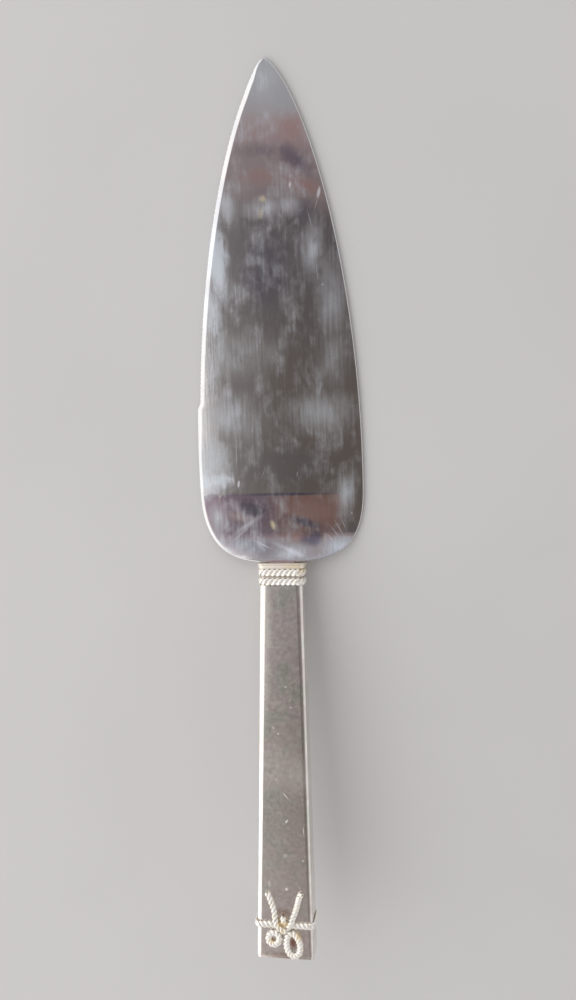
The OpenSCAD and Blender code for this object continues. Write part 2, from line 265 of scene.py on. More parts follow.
class Graph:
    """A node tree with short ways to add what this object's trees need."""

    def __init__(self, tree: bpy.types.NodeTree) -> None:
        """Work on a tree."""
        self.tree = tree

    def add(self, kind: str, settings: dict[str, object] | None = None, **values: object) -> bpy.types.Node:
        """Add a node.

        Args:
            kind: Blender's name of the node.
            settings: The node's own settings.
            values: Its inputs by name, with _ for a space.

        Returns:
            The node.
        """
        node = self.tree.nodes.new(kind)
        for name, value in (settings or {}).items():
            setattr(node, name, value)
        for name, value in values.items():
            put(node.inputs[name.replace("_", " ")], value)
        return node

    def wire(self, node: bpy.types.Node, output: int | str = 0) -> Wire:
        """Take a node's output as a wire."""
        return Wire(self.tree, node.outputs[output])

    def place(self, corner: Point, rise: float = 0.0) -> Wire:
        """Measure in millimetres from a corner of the object, in axes that may be tilted.

        Args:
            corner: The corner in metres.
            rise: How far the axes lean back about X, in radians.

        Returns:
            The place.
        """
        here = self.add("ShaderNodeTexCoord")
        own = self.wire(here, "Object")
        mapping = self.add("ShaderNodeMapping", {"vector_type": "TEXTURE"}, Vector=own)
        mapping.inputs["Location"].default_value = corner
        mapping.inputs["Rotation"].default_value = (-rise, 0.0, 0.0)
        mapping.inputs["Scale"].default_value = (MM, MM, MM)
        return self.wire(mapping)

    def noise(self, place: Wire, scale: float | Point, detail: float = 2.0, warp: float = 0.0) -> Wire:
        """Add a cloudy noise.

        Args:
            place: Where it is read, in millimetres.
            scale: Features for each millimetre, one number or one for each axis.
            detail: How fine it goes.
            warp: How much it swirls.

        Returns:
            Numbers about a half.
        """
        if isinstance(scale, tuple):
            place = place.vector("MULTIPLY", scale)
            scale = 1.0
        node = self.add(
            "ShaderNodeTexNoise", None, Vector=place, Scale=scale, Detail=detail, Distortion=warp
        )
        return self.wire(node)

    def specks(self, place: Wire, scale: float, size: float) -> Wire:
        """Scatter small round pits.

        Args:
            place: Where they are read, in millimetres.
            scale: Cells for each millimetre.
            size: A pit's radius as a share of a cell.

        Returns:
            One in a pit, and none elsewhere.
        """
        cell = self.add("ShaderNodeTexVoronoi", None, Vector=place, Scale=scale)
        return self.wire(cell, "Distance").ease(size, size * 0.4)

    def mix(self, share: Wire | float, first: Wire | Colour, second: Wire | Colour) -> Wire:
        """Blend two colours.

        Args:
            share: How much of the second shows.
            first: The first colour.
            second: The second colour.

        Returns:
            The blend.
        """
        node = self.add("ShaderNodeMix", {"data_type": "RGBA"})
        put(node.inputs[0], share)
        for socket, colour in ((node.inputs[6], first), (node.inputs[7], second)):
            put(socket, colour if isinstance(colour, Wire) else (*colour, 1.0))
        return self.wire(node, 2)

    def bump(self, height: Wire, depth: float) -> Wire:
        """Turn heights into a bumped surface.

        Args:
            height: The heights, from none to one.
            depth: What one counts, in metres.

        Returns:
            The surface's normals.
        """
        node = self.add("ShaderNodeBump", None, Height=height, Distance=depth, Strength=1.0)
        return self.wire(node)


@dataclass(frozen=True)
class Mark:
    """A smudge, scratch, stain or pit: an ellipse on a face, in millimetres.

    Attributes:
        x: Across the face.
        y: Along it.
        wide: Half its width.
        long: Half its length.
        turn: How far it is turned, in degrees.
        strength: How strongly it shows.
        ragged: How far the noise eats into its edge.
        soft: Where its edge starts to fade, as a share of its size.
    """

    x: float
    y: float
    wide: float
    long: float
    turn: float = 0.0
    strength: float = 1.0
    ragged: float = 1.2
    soft: float = 0.2

    def draw(self, graph: Graph, place: Wire, noise: Wire) -> Wire:
        """Add this mark's nodes.

        Args:
            graph: The material's tree.
            place: The face's millimetres.
            noise: What makes the edge ragged.

        Returns:
            How strongly the mark covers.
        """
        node = graph.add("ShaderNodeMapping", {"vector_type": "TEXTURE"}, Vector=place)
        node.inputs["Location"].default_value = (self.x, self.y, 0.0)
        node.inputs["Rotation"].default_value = (0.0, 0.0, math.radians(self.turn))
        node.inputs["Scale"].default_value = (self.wide, self.long, 1000.0)
        far = graph.wire(node).length()
        return (far + (noise - 0.5) * self.ragged).ease(1.0, self.soft, self.strength)


def draw_marks(graph: Graph, place: Wire, noise: Wire, marks: tuple[Mark, ...]) -> Wire:
    """Lay several marks over each other.

    Args:
        graph: The material's tree.
        place: The face's millimetres.
        noise: What makes their edges ragged.
        marks: The marks.

    Returns:
        The strongest cover at each place.
    """
    cover = marks[0].draw(graph, place, noise)
    for mark in marks[1:]:
        cover = cover.maths("MAXIMUM", mark.draw(graph, place, noise))
    return cover


# ---- finishes


@dataclass(frozen=True)
class Finish:
    """A surface finish that becomes a procedural material.

    Attributes:
        name: The material's name.
        tint: The clean surface's colour.
        corner: Where its millimetres start, in metres.
        rise: How far its axes lean back, in radians.
    """

    name: str
    tint: Colour
    corner: Point = (0.0, 0.0, 0.0)
    rise: float = 0.0

    def material(self) -> bpy.types.Material:
        """Build the material.

        Returns:
            The material, painted.
        """
        material = bpy.data.materials.new(self.name)
        material.use_nodes = True
        tree = material.node_tree
        shader = tree.nodes["Principled BSDF"]
        graph = Graph(tree)
        self.paint(graph, shader, graph.place(self.corner, self.rise))
        return material

    def paint(self, graph: Graph, shader: bpy.types.Node, place: Wire) -> None:
        """Lead colour, roughness and bump into the shader."""
        raise NotImplementedError


@dataclass(frozen=True)
class FilmAndPaintedLight:
    """A thin film that dims a mirror; painted reflections and painted shade are laid on the same way.

    Attributes:
        colour: The film's colour.
        mirror: How much of the mirror shows through, up to 1.
        marks: Where it lies.
        rough: How much rougher it makes the surface.
        broken: How far the clouds and streaks break it up.
    """

    colour: Colour
    mirror: float
    marks: tuple[Mark, ...]
    rough: float = 0.2
    broken: float = 0.0

    def cover(self, graph: Graph, place: Wire, ragged: Wire, wiped: Wire) -> Wire:
        """Find how thickly the film lies.

        Args:
            graph: The material's tree.
            place: The blade's millimetres.
            ragged: What makes the marks' edges ragged.
            wiped: The clouds and streaks that break the film up.

        Returns:
            Its cover, up to 1.
        """
        field = draw_marks(graph, place, ragged, self.marks)
        if self.broken == 0:
            return field
        return (field + (wiped - 0.5) * self.broken).ease(-0.1, 1.1)


@dataclass(frozen=True)
class BladeSteel(Finish):
    """Mirror-polished stainless steel with wiping haze and fine lengthwise scratches, and with painted
    reflections and painted shade in violet, russet, dark and gold patches.
    """

    heel_line: float = 21.9
    violet: Colour = (0.31, 0.235, 0.29)
    russet: Colour = (0.40, 0.235, 0.195)

    def paint(self, graph: Graph, shader: bpy.types.Node, place: Wire) -> None:
        """Lead colour, roughness and bump into the shader.

        Args:
            graph: The material's tree.
            shader: The shader.
            place: The piece's own millimetres.
        """
        cloud = graph.noise(place, (0.11, 0.07, 0.1), 4.0, 0.5)
        mottle = graph.noise(place, (0.42, 0.26, 0.3), 8.0, 0.35)
        streak = graph.noise(place, (1.5, 0.09, 0.4), 6.0)
        hair = graph.noise(place, (7.0, 0.18, 2.0), 3.0)
        ragged = cloud.ease(0.2, 0.8) * 0.5 + mottle.ease(0.2, 0.8) * 0.5
        wiped = mottle.ease(0.24, 0.76) * 0.34 + streak.ease(0.22, 0.78) * 0.24
        wiped = wiped + cloud.ease(0.34, 0.66) * 0.42
        base, mirror, rough = self._heel(graph, place, cloud, mottle)
        # The layers hold real haze, streaks and scratches, and also painted reflections and painted shade.
        for film in BLADE_FILMS_AND_PAINTED_LIGHT:
            cover = film.cover(graph, place, ragged, wiped)
            base = graph.mix(cover, base, film.colour)
            mirror = mirror * (cover * -1.0 + 1.0) + cover * film.mirror
            rough = rough + cover * film.rough
        base.feed(shader.inputs["Base Color"])
        mirror.feed(shader.inputs["Metallic"])
        (rough + hair * 0.05 + 0.02).feed(shader.inputs["Roughness"])
        height = hair * 0.2 + streak * 0.3 + cloud * 2.0
        graph.bump(height, 0.008 * MM).feed(shader.inputs["Normal"])

    def _heel(self, graph: Graph, place: Wire, cloud: Wire, mottle: Wire) -> tuple[Wire, Wire, Wire]:
        """Paint reflections on the bent heel behind a crisp line, violet on the left and russet on the
        right.

        Args:
            graph: The material's tree.
            place: The blade's millimetres.
            cloud: The broad noise.
            mottle: The finer noise.

        Returns:
            The colour, the share of mirror and the roughness.
        """
        x, y, _ = place.parts()
        wavy = (mottle - 0.5) * 5.0 * x.ease(-8.0, -13.0)
        behind = (y + wavy).ease(self.heel_line + 0.25, self.heel_line - 0.25)
        aside = (x + (mottle - 0.5) * 12.0 - y * 0.12).ease(21.0, 16.0)
        left = (x + (cloud - 0.5) * 20.0).ease(6.0, -7.0)
        # The heel's violet and russet are painted reflections of the room in the bend.
        hue = graph.mix(left, self.russet, self.violet)
        hue = graph.mix(mottle.ease(0.5, 0.7, 0.5), hue, (0.5, 0.36, 0.36))
        fade = (y + (cloud - 0.5) * 14.0).ease(3.0, 13.0, 0.55) + 0.4
        round_x = (x.maths("ABSOLUTE") / 26.85).maths("POWER", 3.1)
        round_y = ((y * -1.0 + 27.0).maths("MAXIMUM", 0.0) / 27.0).maths("POWER", 3.1)
        cover = behind * aside * fade * (round_x + round_y).ease(0.93, 0.84)
        base = graph.mix(cover, self.tint, hue)
        mirror = cover * -0.3 + 1.0
        return base, mirror, cover * 0.05


@dataclass(frozen=True)
class HandleSilver(Finish):
    """Silver plate dulled by handling, with small pits, flecks and a brown stain by the bow."""

    haze: Colour = (0.9, 0.86, 0.8)
    stain: Colour = (0.42, 0.22, 0.15)

    def paint(self, graph: Graph, shader: bpy.types.Node, place: Wire) -> None:
        """Lead colour, roughness and bump into the shader.

        Args:
            graph: The material's tree.
            shader: The shader.
            place: The piece's own millimetres.
        """
        face = place.vector("MULTIPLY", (1.0, -1.0, 1.0))
        cloud = graph.noise(face, 0.22, 4.0, 0.5)
        mottle = graph.noise(face, 0.9, 4.0)
        grain = graph.noise(face, 4.0, 3.0)
        pits = graph.specks(face, 0.22, 0.06)
        flecks = draw_marks(graph, face, grain, HANDLE_FLECKS)
        stained = draw_marks(graph, face, mottle, HANDLE_STAINS)
        patchy = cloud.ease(0.25, 0.75) * 0.6 + mottle.ease(0.25, 0.75) * 0.4
        hazed = (draw_marks(graph, face, patchy, HANDLE_HAZE) + (patchy - 0.5) * 0.5).ease(0.0, 1.0, 0.7)
        green = graph.noise(face, 0.13, 3.0, 0.6).ease(0.5, 0.62, 0.7)
        base = graph.mix(cloud.ease(0.3, 0.7, 0.9), self.tint, (0.76, 0.68, 0.65))
        base = graph.mix(green, base, (0.74, 0.77, 0.69))
        base = graph.mix(mottle.ease(0.4, 0.75, 0.3), base, self.haze)
        base = graph.mix(hazed, base, self.haze)
        base = graph.mix(stained, base, self.stain)
        graph.mix(flecks.maths("MAXIMUM", pits * 0.3), base, self.haze).feed(shader.inputs["Base Color"])
        (flecks * -0.6 - hazed * 0.42 + 0.97).feed(shader.inputs["Metallic"])
        rough = mottle * 0.12 + cloud * 0.12
        (rough + 0.08).feed(shader.inputs["Roughness"])
        height = grain * 0.3 + mottle - pits * 1.5
        graph.bump(height, 0.006 * MM).feed(shader.inputs["Normal"])


@dataclass(frozen=True)
class SatinTrim(Finish):
    """Pale satin metal with a warm cast and brown tarnish left in its hollows.

    Attributes:
        tarnish: The colour left in the hollows.
        hollow: The attribute that is one on high ground and none in the hollows.
        satin: The general roughness.
    """

    tarnish: Colour = (0.34, 0.22, 0.13)
    hollow: str = "crest"
    satin: float = 0.3
    gilt: Colour = (0.93, 0.7, 0.3)

    def paint(self, graph: Graph, shader: bpy.types.Node, place: Wire) -> None:
        """Lead colour, roughness and bump into the shader.

        Args:
            graph: The material's tree.
            shader: The shader.
            place: The piece's own millimetres.
        """
        cloud = graph.noise(place, 0.5, 3.0)
        grain = graph.noise(place, 5.0, 4.0)
        crest = graph.wire(graph.add("ShaderNodeAttribute", {"attribute_name": self.hollow}), "Fac")
        deep = (crest + (grain - 0.5) * 0.25).ease(0.78, 0.4, 0.8)
        face = place.vector("MULTIPLY", (1.0, -1.0, 1.0))
        worn = draw_marks(graph, face, cloud, TRIM_GILT)
        base = graph.mix(cloud.ease(0.4, 0.75, 0.7), self.tint, (0.93, 0.85, 0.7))
        base = graph.mix(worn, base, self.gilt)
        graph.mix(deep, base, self.tarnish).feed(shader.inputs["Base Color"])
        (deep * 0.3 + 0.42).feed(shader.inputs["Metallic"])
        (deep * 0.3 + grain * 0.16 + self.satin - 0.08).feed(shader.inputs["Roughness"])
        graph.bump(grain, 0.012 * MM).feed(shader.inputs["Normal"])


@dataclass(frozen=True)
class TangPlaster(Finish):
    """Coarse grey plaster with air holes, which fills the front of the handle; the holes are painted dark
    as painted shade.
    """

    def paint(self, graph: Graph, shader: bpy.types.Node, place: Wire) -> None:
        """Lead colour, roughness and bump into the shader.

        Args:
            graph: The material's tree.
            shader: The shader.
            place: The piece's own millimetres.
        """
        grain = graph.noise(place, 2.5, 6.0)
        holes = graph.specks(place, 0.7, 0.22)
        base = graph.mix(grain.ease(0.3, 0.7), self.tint, (0.52, 0.5, 0.46))
        # Painted shade: the air holes are coloured near black
        graph.mix(holes, base, (0.16, 0.15, 0.14)).feed(shader.inputs["Base Color"])
        (grain * 0.2 + 0.75).feed(shader.inputs["Roughness"])
        graph.bump(grain - holes, 0.08 * MM).feed(shader.inputs["Normal"])


# Where films lie on the blade, from its middle line and its heel
BLADE_HAZE = (
    Mark(0.0, 76, 60, 200, 0, 0.14, 0.0, 0.0),
    Mark(-1.0, 148, 10.0, 13, 0, 0.6, 0.8, 0.0),
    Mark(-2.5, 111, 10.0, 5, 6, 0.75, 1.2, 0.0),
    Mark(6.0, 111.5, 6.0, 5, -30, 0.8, 1.2, 0.0),
    Mark(-13.5, 112, 5.0, 9, 12, 0.9, 1.0, 0.0),
    Mark(12.6, 98, 6.0, 14, -8, 0.8, 1.2, 0.0),
    Mark(18.0, 84, 7.0, 20, 0, 0.8, 1.2, 0.0),
    Mark(-12.0, 67, 19.0, 12, 0, 0.62, 1.2, 0.0),
    Mark(-15.0, 47, 18.0, 13, 0, 0.6, 1.2, 0.0),
    Mark(14.0, 48, 18.0, 11, 0, 0.8, 1.2, 0.0),
    Mark(18.0, 64, 8.0, 16, 0, 0.5, 1.2, 0.0),
    Mark(-21.0, 33, 10.0, 14, 0, 0.85, 1.2, 0.0),
    Mark(18.0, 5.0, 9.0, 6.0, 18, 0.9, 1.0, 0.0),
    Mark(3.0, 3.2, 10.0, 3.6, 6, 0.8, 1.2, 0.0),
    Mark(-12.0, 5.2, 10.0, 5.0, -14, 0.5, 1.4, 0.0),
    Mark(-21.5, 14.0, 4.5, 9.0, 0, 0.6, 1.2, 0.0),
)

# Where it is thick enough to look pale
BLADE_BLOOM = (
    Mark(-17.6, 96, 5.4, 20, 5, 1.3, 1.0, 0.0),
    Mark(-19.4, 80, 5.0, 14, 3, 0.85, 1.2, 0.0),
    Mark(-20.5, 62, 4.0, 12, 0, 0.4, 1.2, 0.0),
    Mark(-21.5, 26.0, 9.0, 5.5, 0, 0.95, 1.2, 0.0),
    Mark(21.5, 23.0, 5.0, 11.0, -12, 0.7, 1.2, 0.0),
    Mark(13.5, 98, 3.6, 10, -8, 0.45, 1.2, 0.0),
    Mark(19.5, 4.6, 7.0, 4.0, 18, 0.55, 1.2, 0.0),
    Mark(4.0, 2.4, 8.0, 2.4, 6, 0.5, 1.2, 0.0),
    Mark(-2.5, 110.5, 8.0, 4, 6, 0.35, 1.2, 0.0),
)

# Painted russet reflections of the room on the blade
BLADE_RUSSET_REFLECTIONS_AND_SHADE = (
    Mark(9.0, 117.5, 4.4, 11.0, 68, 1.0, 1.0, 0.0),
    Mark(-3.0, 120.5, 4.0, 13.0, 92, 0.8, 1.2, 0.0),
    Mark(8.0, 134.0, 5.0, 6.0, 20, 0.8, 1.2, 0.0),
    Mark(9.5, 16.0, 6.0, 14.0, 88, 0.9, 1.0, 0.0),
    Mark(-14.0, 14.5, 3.0, 6.0, 80, 0.8, 1.0, 0.0),
    Mark(4.0, 8.4, 3.4, 8.0, 62, 0.75, 1.0, 0.0),
    # A painted shadow line along the heel where it meets the collar
    Mark(0.0, 0.1, 7.4, 0.8, 0, 1.2, 0.2, 0.4),
)

# Painted dark reflections of the room on the blade, with a dark line across the heel's bend
BLADE_DARK_REFLECTIONS = (
    Mark(8.2, 124.8, 4.4, 11.5, 52, 0.85, 1.0, 0.0),
    Mark(-2.0, 128.0, 3.6, 12.0, 88, 0.55, 1.2, 0.0),
    Mark(10.5, 110.0, 6.0, 5.0, 10, 0.7, 1.2, 0.0),
    Mark(-2.0, 92.0, 13.0, 20.0, 0, 0.75, 1.2, 0.0),
    Mark(3.0, 31.0, 20.0, 11.0, 0, 0.5, 1.2, 0.0),
    Mark(-9.6, 16.6, 8.0, 4.6, -8, 1.05, 1.2, 0.0),
    Mark(7.0, 12.6, 2.4, 10.0, 72, 0.95, 0.8, 0.0),
    Mark(10.0, 7.6, 6.0, 3.6, 20, 1.0, 1.2, 0.0),
    Mark(-10.0, 5.0, 11.0, 3.4, -14, 0.75, 1.4, 0.0),
    Mark(2.0, 21.9, 0.9, 24.0, 90, 1.15, 0.4, 0.0),
)

# Painted warm reflections on the blade
BLADE_GOLD_REFLECTIONS = (
    Mark(-2.0, 113.8, 1.4, 1.4, 30, 0.7, 0.9),
    Mark(-2.8, 109.6, 0.9, 2.3, -8, 0.45, 1.1),
    Mark(-3.0, 11.6, 1.2, 2.5, 20, 1.0, 0.8),
)

# Streaks left by a wet cloth
BLADE_STREAKS = (
    Mark(-11.4, 11.8, 1.5, 8.4, -56, 0.7, 0.9, 0.0),
    Mark(-13.4, 9.2, 0.4, 5.6, -50, 0.5, 0.6),
    Mark(-7.0, 5.6, 0.5, 5.0, 65, 0.5, 0.5),
    Mark(2.2, 3.8, 1.2, 8.0, 66, 0.75, 0.8, 0.0),
    Mark(18.6, 10.6, 0.26, 4.0, 30, 0.7, 0.4),
    Mark(17.2, 9.4, 0.24, 3.6, 36, 0.7, 0.4),
    Mark(20.0, 12.0, 0.2, 3.6, 24, 0.7, 0.4),
    Mark(15.6, 7.6, 0.2, 3.0, 42, 0.6, 0.4),
    Mark(-15.6, 27.0, 0.5, 3.0, 4, 0.5, 0.6),
)

# Fine scratches, and one painted highlight on the rim by the heel
BLADE_SCRATCHES_AND_GLINT = (
    Mark(-13.9, 25.4, 0.5, 1.6, -8, 1.0, 0.4, 0.5),
    Mark(-14.2, 35.0, 0.12, 8.5, -1.5, 0.6, 0.3),
    Mark(-5.5, 29.0, 0.1, 3.4, -18, 0.5, 0.3),
    Mark(5.5, 28.4, 0.16, 1.4, -14, 0.6, 0.4),
    Mark(15.2, 114.6, 0.6, 2.2, -14, 0.8, 0.6),
    Mark(14.4, 111.5, 0.12, 2.6, -18, 0.6, 0.3),
    Mark(6.5, 117.4, 0.7, 1.5, -8, 0.75, 0.8),
    Mark(12.2, 107.4, 0.12, 3.6, 14, 0.5, 0.3),
    Mark(-7.4, 134.0, 0.14, 2.0, 6, 0.5, 0.3),
    Mark(-11.0, 133.0, 0.7, 0.3, 10, 0.7, 0.6),
    Mark(15.6, 87.5, 0.35, 0.4, 0, 0.6, 0.5),
    Mark(14.0, 91.5, 0.1, 3.0, 6, 0.6, 0.3),
    Mark(22.8, 15.4, 0.3, 0.5, 0, 0.8, 0.5),
    # A painted highlight on the rim
    Mark(17.9, 1.3, 0.7, 0.35, 16, 1.0, 0.5),
)

# The russet, dark and gold layers are painted reflections, the russet one also holds a painted shadow line
# at the heel, and the scratches hold one painted highlight.
BLADE_FILMS_AND_PAINTED_LIGHT = (
    FilmAndPaintedLight((0.46, 0.31, 0.29), 0.7, BLADE_RUSSET_REFLECTIONS_AND_SHADE, 0.04, 0.7),
    FilmAndPaintedLight((0.2, 0.18, 0.24), 0.82, BLADE_DARK_REFLECTIONS, 0.0, 0.7),
    FilmAndPaintedLight((0.62, 0.65, 0.68), 0.66, BLADE_HAZE, 0.12, 0.9),
    FilmAndPaintedLight((0.76, 0.82, 0.88), 0.58, BLADE_BLOOM, 0.08, 0.9),
    FilmAndPaintedLight((0.74, 0.75, 0.82), 0.6, BLADE_STREAKS, 0.1),
    FilmAndPaintedLight((0.95, 0.85, 0.6), 0.6, BLADE_GOLD_REFLECTIONS, 0.0),
    FilmAndPaintedLight((0.85, 0.87, 0.9), 0.45, BLADE_SCRATCHES_AND_GLINT, 0.0),
)

# Where gilding is left on the bow and the collar, from the middle line and back from the front
TRIM_GILT = (
    Mark(-0.5, 115.2, 2.6, 1.5, 0, 0.9, 0.8, 0.1),
    Mark(-0.6, 117.4, 1.2, 1.6, 0, 0.5, 0.8, 0.0),
    Mark(4.6, 118.8, 1.4, 2.2, -24, 0.7, 0.8, 0.0),
    Mark(-4.0, 121.0, 1.4, 1.2, 0, 0.6, 0.8, 0.0),
    Mark(4.0, 1.0, 5.0, 1.2, 0, 0.4, 1.0, 0.0),
    Mark(6.6, 2.4, 1.6, 2.0, 0, 0.5, 1.0, 0.0),
)

# Where the handle's face is flecked and stained, from its middle line and back from its front
HANDLE_FLECKS = (
    Mark(0.8, 74.8, 0.26, 2.0, -42, 1.0, 0.4),
    Mark(1.0, 82.9, 0.5, 1.1, 38, 1.0, 0.5),
    Mark(0.3, 94.0, 0.9, 0.9, 0, 0.35, 0.8, 0.5),
    Mark(0.7, 104.6, 0.6, 0.6, 0, 1.0, 0.3, 0.6),
    Mark(1.2, 39.8, 0.7, 0.5, 0, 0.6, 0.8),
    Mark(-1.5, 54.9, 0.5, 0.5, 0, 0.9, 0.5),
    Mark(-3.0, 53.0, 0.5, 0.8, -30, 0.6, 0.6),
    Mark(2.8, 46.4, 0.8, 0.4, 16, 0.7, 0.8),
    Mark(6.4, 85.8, 0.22, 2.2, -4, 0.9, 0.3),
    Mark(6.1, 95.3, 0.4, 0.6, 0, 0.8, 0.5),
    Mark(-4.9, 103.2, 0.8, 1.8, 0, 0.5, 1.2),
    Mark(3.4, 19.0, 0.3, 1.4, 50, 0.35, 0.6),
    Mark(-0.8, 12.0, 0.14, 3.4, 4, 0.4, 0.4),
    Mark(4.2, 11.6, 0.4, 0.8, 0, 0.4, 1.0),
    Mark(-3.0, 27.0, 4.0, 0.3, 6, 0.3, 0.8),
    Mark(5.0, 104.0, 0.3, 0.5, 0, 0.6, 0.6),
)

HANDLE_HAZE = (
    Mark(-6.6, 12, 4.6, 60, 0, 1.5, 0.7, 0.0),
    Mark(-4.0, 66.0, 12.0, 14.0, 30, 0.5, 1.2, 0.2),
    Mark(4.0, 68.0, 10.0, 12.0, -34, 0.5, 1.2, 0.2),
    Mark(0.0, 0.0, 12.0, 9.0, 0, 0.3, 1.0, 0.0),
)

HANDLE_STAINS = (
    Mark(2.7, 121.6, 1.4, 2.8, 0, 0.9, 0.6),
    Mark(-4.4, 121.4, 1.0, 1.0, 0, 0.5, 0.6),
    Mark(0.0, 112.0, 4.0, 1.6, 0, 0.45, 1.0),
    Mark(0.0, 126.0, 9.5, 1.6, 0, 0.35, 1.2),
)


# ---- the blade


# How a rim falls from the plate's upper face to its outside, as shares of its width
ROUND_EDGE = (
    (-0.3, 0.0), (0.0, 0.0), (0.2, 0.06), (0.42, 0.17), (0.70, 0.373), (0.88, 0.603), (1.0, 0.933),
)
GROUND_EDGE = (
    (-0.1, 0.0), (0.0, 0.0), (0.05, 0.01), (0.12, 0.037), (0.4, 0.165), (0.76, 0.33), (1.0, 0.45),
)


@dataclass
class Blade:
    """The leaf-shaped plate with its bent-up heel and its tang, in millimetres from the heel.

    Attributes:
        finish: The steel.
        heel_y: Where the heel lies, in metres.
        axis_z: How high the handle's middle line is at the heel.
        rise: How steeply the handle rises, in degrees.
    """

    finish: Finish
    heel_y: float
    axis_z: float
    rise: float
    length: float = 154.0
    width: float = 53.7
    thick: float = 1.3
    heel: float = 27.0
    leaf_power: float = 1.35
    heel_power: float = 3.1
    notch: float = 52.0
    notch_run: float = 2.2
    set_back: float = 0.75
    tip_plain: float = 3.0
    tip_fade: float = 10.0
    neck_corner: float = 7.5
    neck_radius: float = 28.0
    tang_corner: float = 1.0
    tang_radius: float = 15.0
    tang_width: float = 8.0
    tang_length: float = 34.0
    scallop_pitch: float = 1.4
    scallop_depth: float = 0.14
    ground_rim: float = 1.45
    heel_rim: float = 1.0
    low_rim: float = 0.3
    plain_rim: float = 0.4
    burr: float = 0.12
    rows_per_scallop: int = 8
    across: int = 10

    def half_width(self, y: float) -> float:
        """Give the leaf's half width.

        Args:
            y: The distance from the heel.

        Returns:
            The half width.
        """
        if y >= self.heel:
            share = (y - self.heel) / (self.length - self.heel)
            return self.width / 2 * max(0.0, 1 - share**2) ** (self.leaf_power / 2)
        share = (self.heel - y) / self.heel
        return self.width / 2 * max(0.0, 1 - share**self.heel_power) ** (1 / self.heel_power)

    def middle_line(self) -> list[Spot]:
        """Trace the plate's middle from the tip back along the tang.

        Returns:
            Distances from the heel, each with its height.
        """
        corner = Vector((self.neck_corner, self.thick / 2))
        second_z = self.axis_z + self.tang_corner * math.tan(math.radians(self.rise))
        second = Vector((-self.tang_corner, second_z))
        run = second - corner
        neck = math.atan2(run.y, -run.x)
        rise = math.radians(self.rise)
        line = [(self.length + 1, self.thick / 2)]
        for spot, start, end, radius in (
            (corner, 0.0, neck, self.neck_radius),
            (second, neck, rise, self.tang_radius),
        ):
            ahead = Vector((-math.cos(start), math.sin(start)))
            up = Vector((math.sin(start), math.cos(start)))
            turn = end - start
            first = spot - ahead * radius * abs(math.tan(turn / 2))
            for share in spread(0.0, 1.0, 32):
                angle = turn * share
                lift = math.copysign(1 - math.cos(angle), turn)
                line.append(tuple(first + radius * (math.sin(abs(angle)) * ahead + lift * up)))
        back = self.tang_length + 2
        line.append((-back, self.axis_z + back * math.tan(rise)))
        return line

    def height(self, y: float) -> Spot:
        """Give the heights of the plate's two faces.

        Args:
            y: The distance from the heel.

        Returns:
            The lower and the upper height.

        Raises:
            ValueError: Where the place lies behind the tang.
        """
        line = self._line
        for (y_a, z_a), (y_b, z_b) in zip(line, line[1:]):
            if y >= y_b:
                slope = (z_b - z_a) / (y_a - y_b)
                middle = z_a + slope * (y_a - y)
                half = self.thick / 2 * math.hypot(1, slope)
                return middle - half, middle + half
        raise ValueError(f"{y} lies behind the tang")

    def rim(self, y: float, side: int, turned: float) -> float:
        """Give the polished rim's width.

        Args:
            y: The distance from the heel.
            side: -1 for the ground side, 1 for the plain one.
            turned: How far round the heel's corner it is, from 0 at the bottom to 1 at the side.

        Returns:
            Its width.
        """
        if side > 0:
            return self.plain_rim
        wide = self.low_rim + (self.heel_rim - self.low_rim) * smooth_step(turned, 0.15, 0.7)
        wide += (self.ground_rim - self.heel_rim) * smooth_step(y, 33.0, 47.0)
        return self.low_rim + (wide - self.low_rim) * smooth_step(self.length - y, 0.0, 6.0)

    def stations(self) -> list[tuple[float, float, float, float, float]]:
        """Lay out the rows across the leaf.

        Returns:
            For each row its half width, distance from the heel, outward direction and turn round the heel.
        """
        rows = []
        start = math.asin((self.tang_width / self.width) ** (self.heel_power / 2))
        for angle in spread(start, math.pi / 2, 72, last=False):
            x = self.width / 2 * math.sin(angle) ** (2 / self.heel_power)
            y = self.heel * (1 - math.cos(angle) ** (2 / self.heel_power))
            out = Vector((
                x ** (self.heel_power - 1) / (self.width / 2) ** self.heel_power,
                -((self.heel - y) ** (self.heel_power - 1)) / self.heel**self.heel_power,
            )).normalized()
            rows.append((x, y, out.x, out.y, angle / (math.pi / 2)))
        ground_end = self.length - self.tip_plain
        teeth = int((ground_end - self.notch) / self.scallop_pitch)
        places = spread(self.heel, self.notch - self.notch_run, 14, last=False)
        places += spread(self.notch - self.notch_run, self.notch, 12, last=False)
        places += spread(self.notch, ground_end, teeth * self.rows_per_scallop, last=False)
        front = self.length - self.heel
        for y in places:
            turn = math.asin((y - self.heel) / front)
            rows.append(self._leaf_row(turn))
        last = math.asin((ground_end - self.heel) / front)
        rows += [self._leaf_row(turn) for turn in spread(last, math.pi / 2, 20)]
        return rows

    def _leaf_row(self, turn: float) -> tuple[float, float, float, float, float]:
        """Give one row of the leaf in front of its widest place.

        Args:
            turn: How far along it is, as an angle from the widest place.

        Returns:
            What a section is made from.
        """
        front = self.length - self.heel
        y = self.heel + front * math.sin(turn)
        slant = self.width / 2 * self.leaf_power * math.sin(turn)
        out = Vector((front * max(0.0, math.cos(turn)) ** (2 - self.leaf_power), slant)).normalized()
        return self.half_width(y), y, out.x, out.y, 1.0

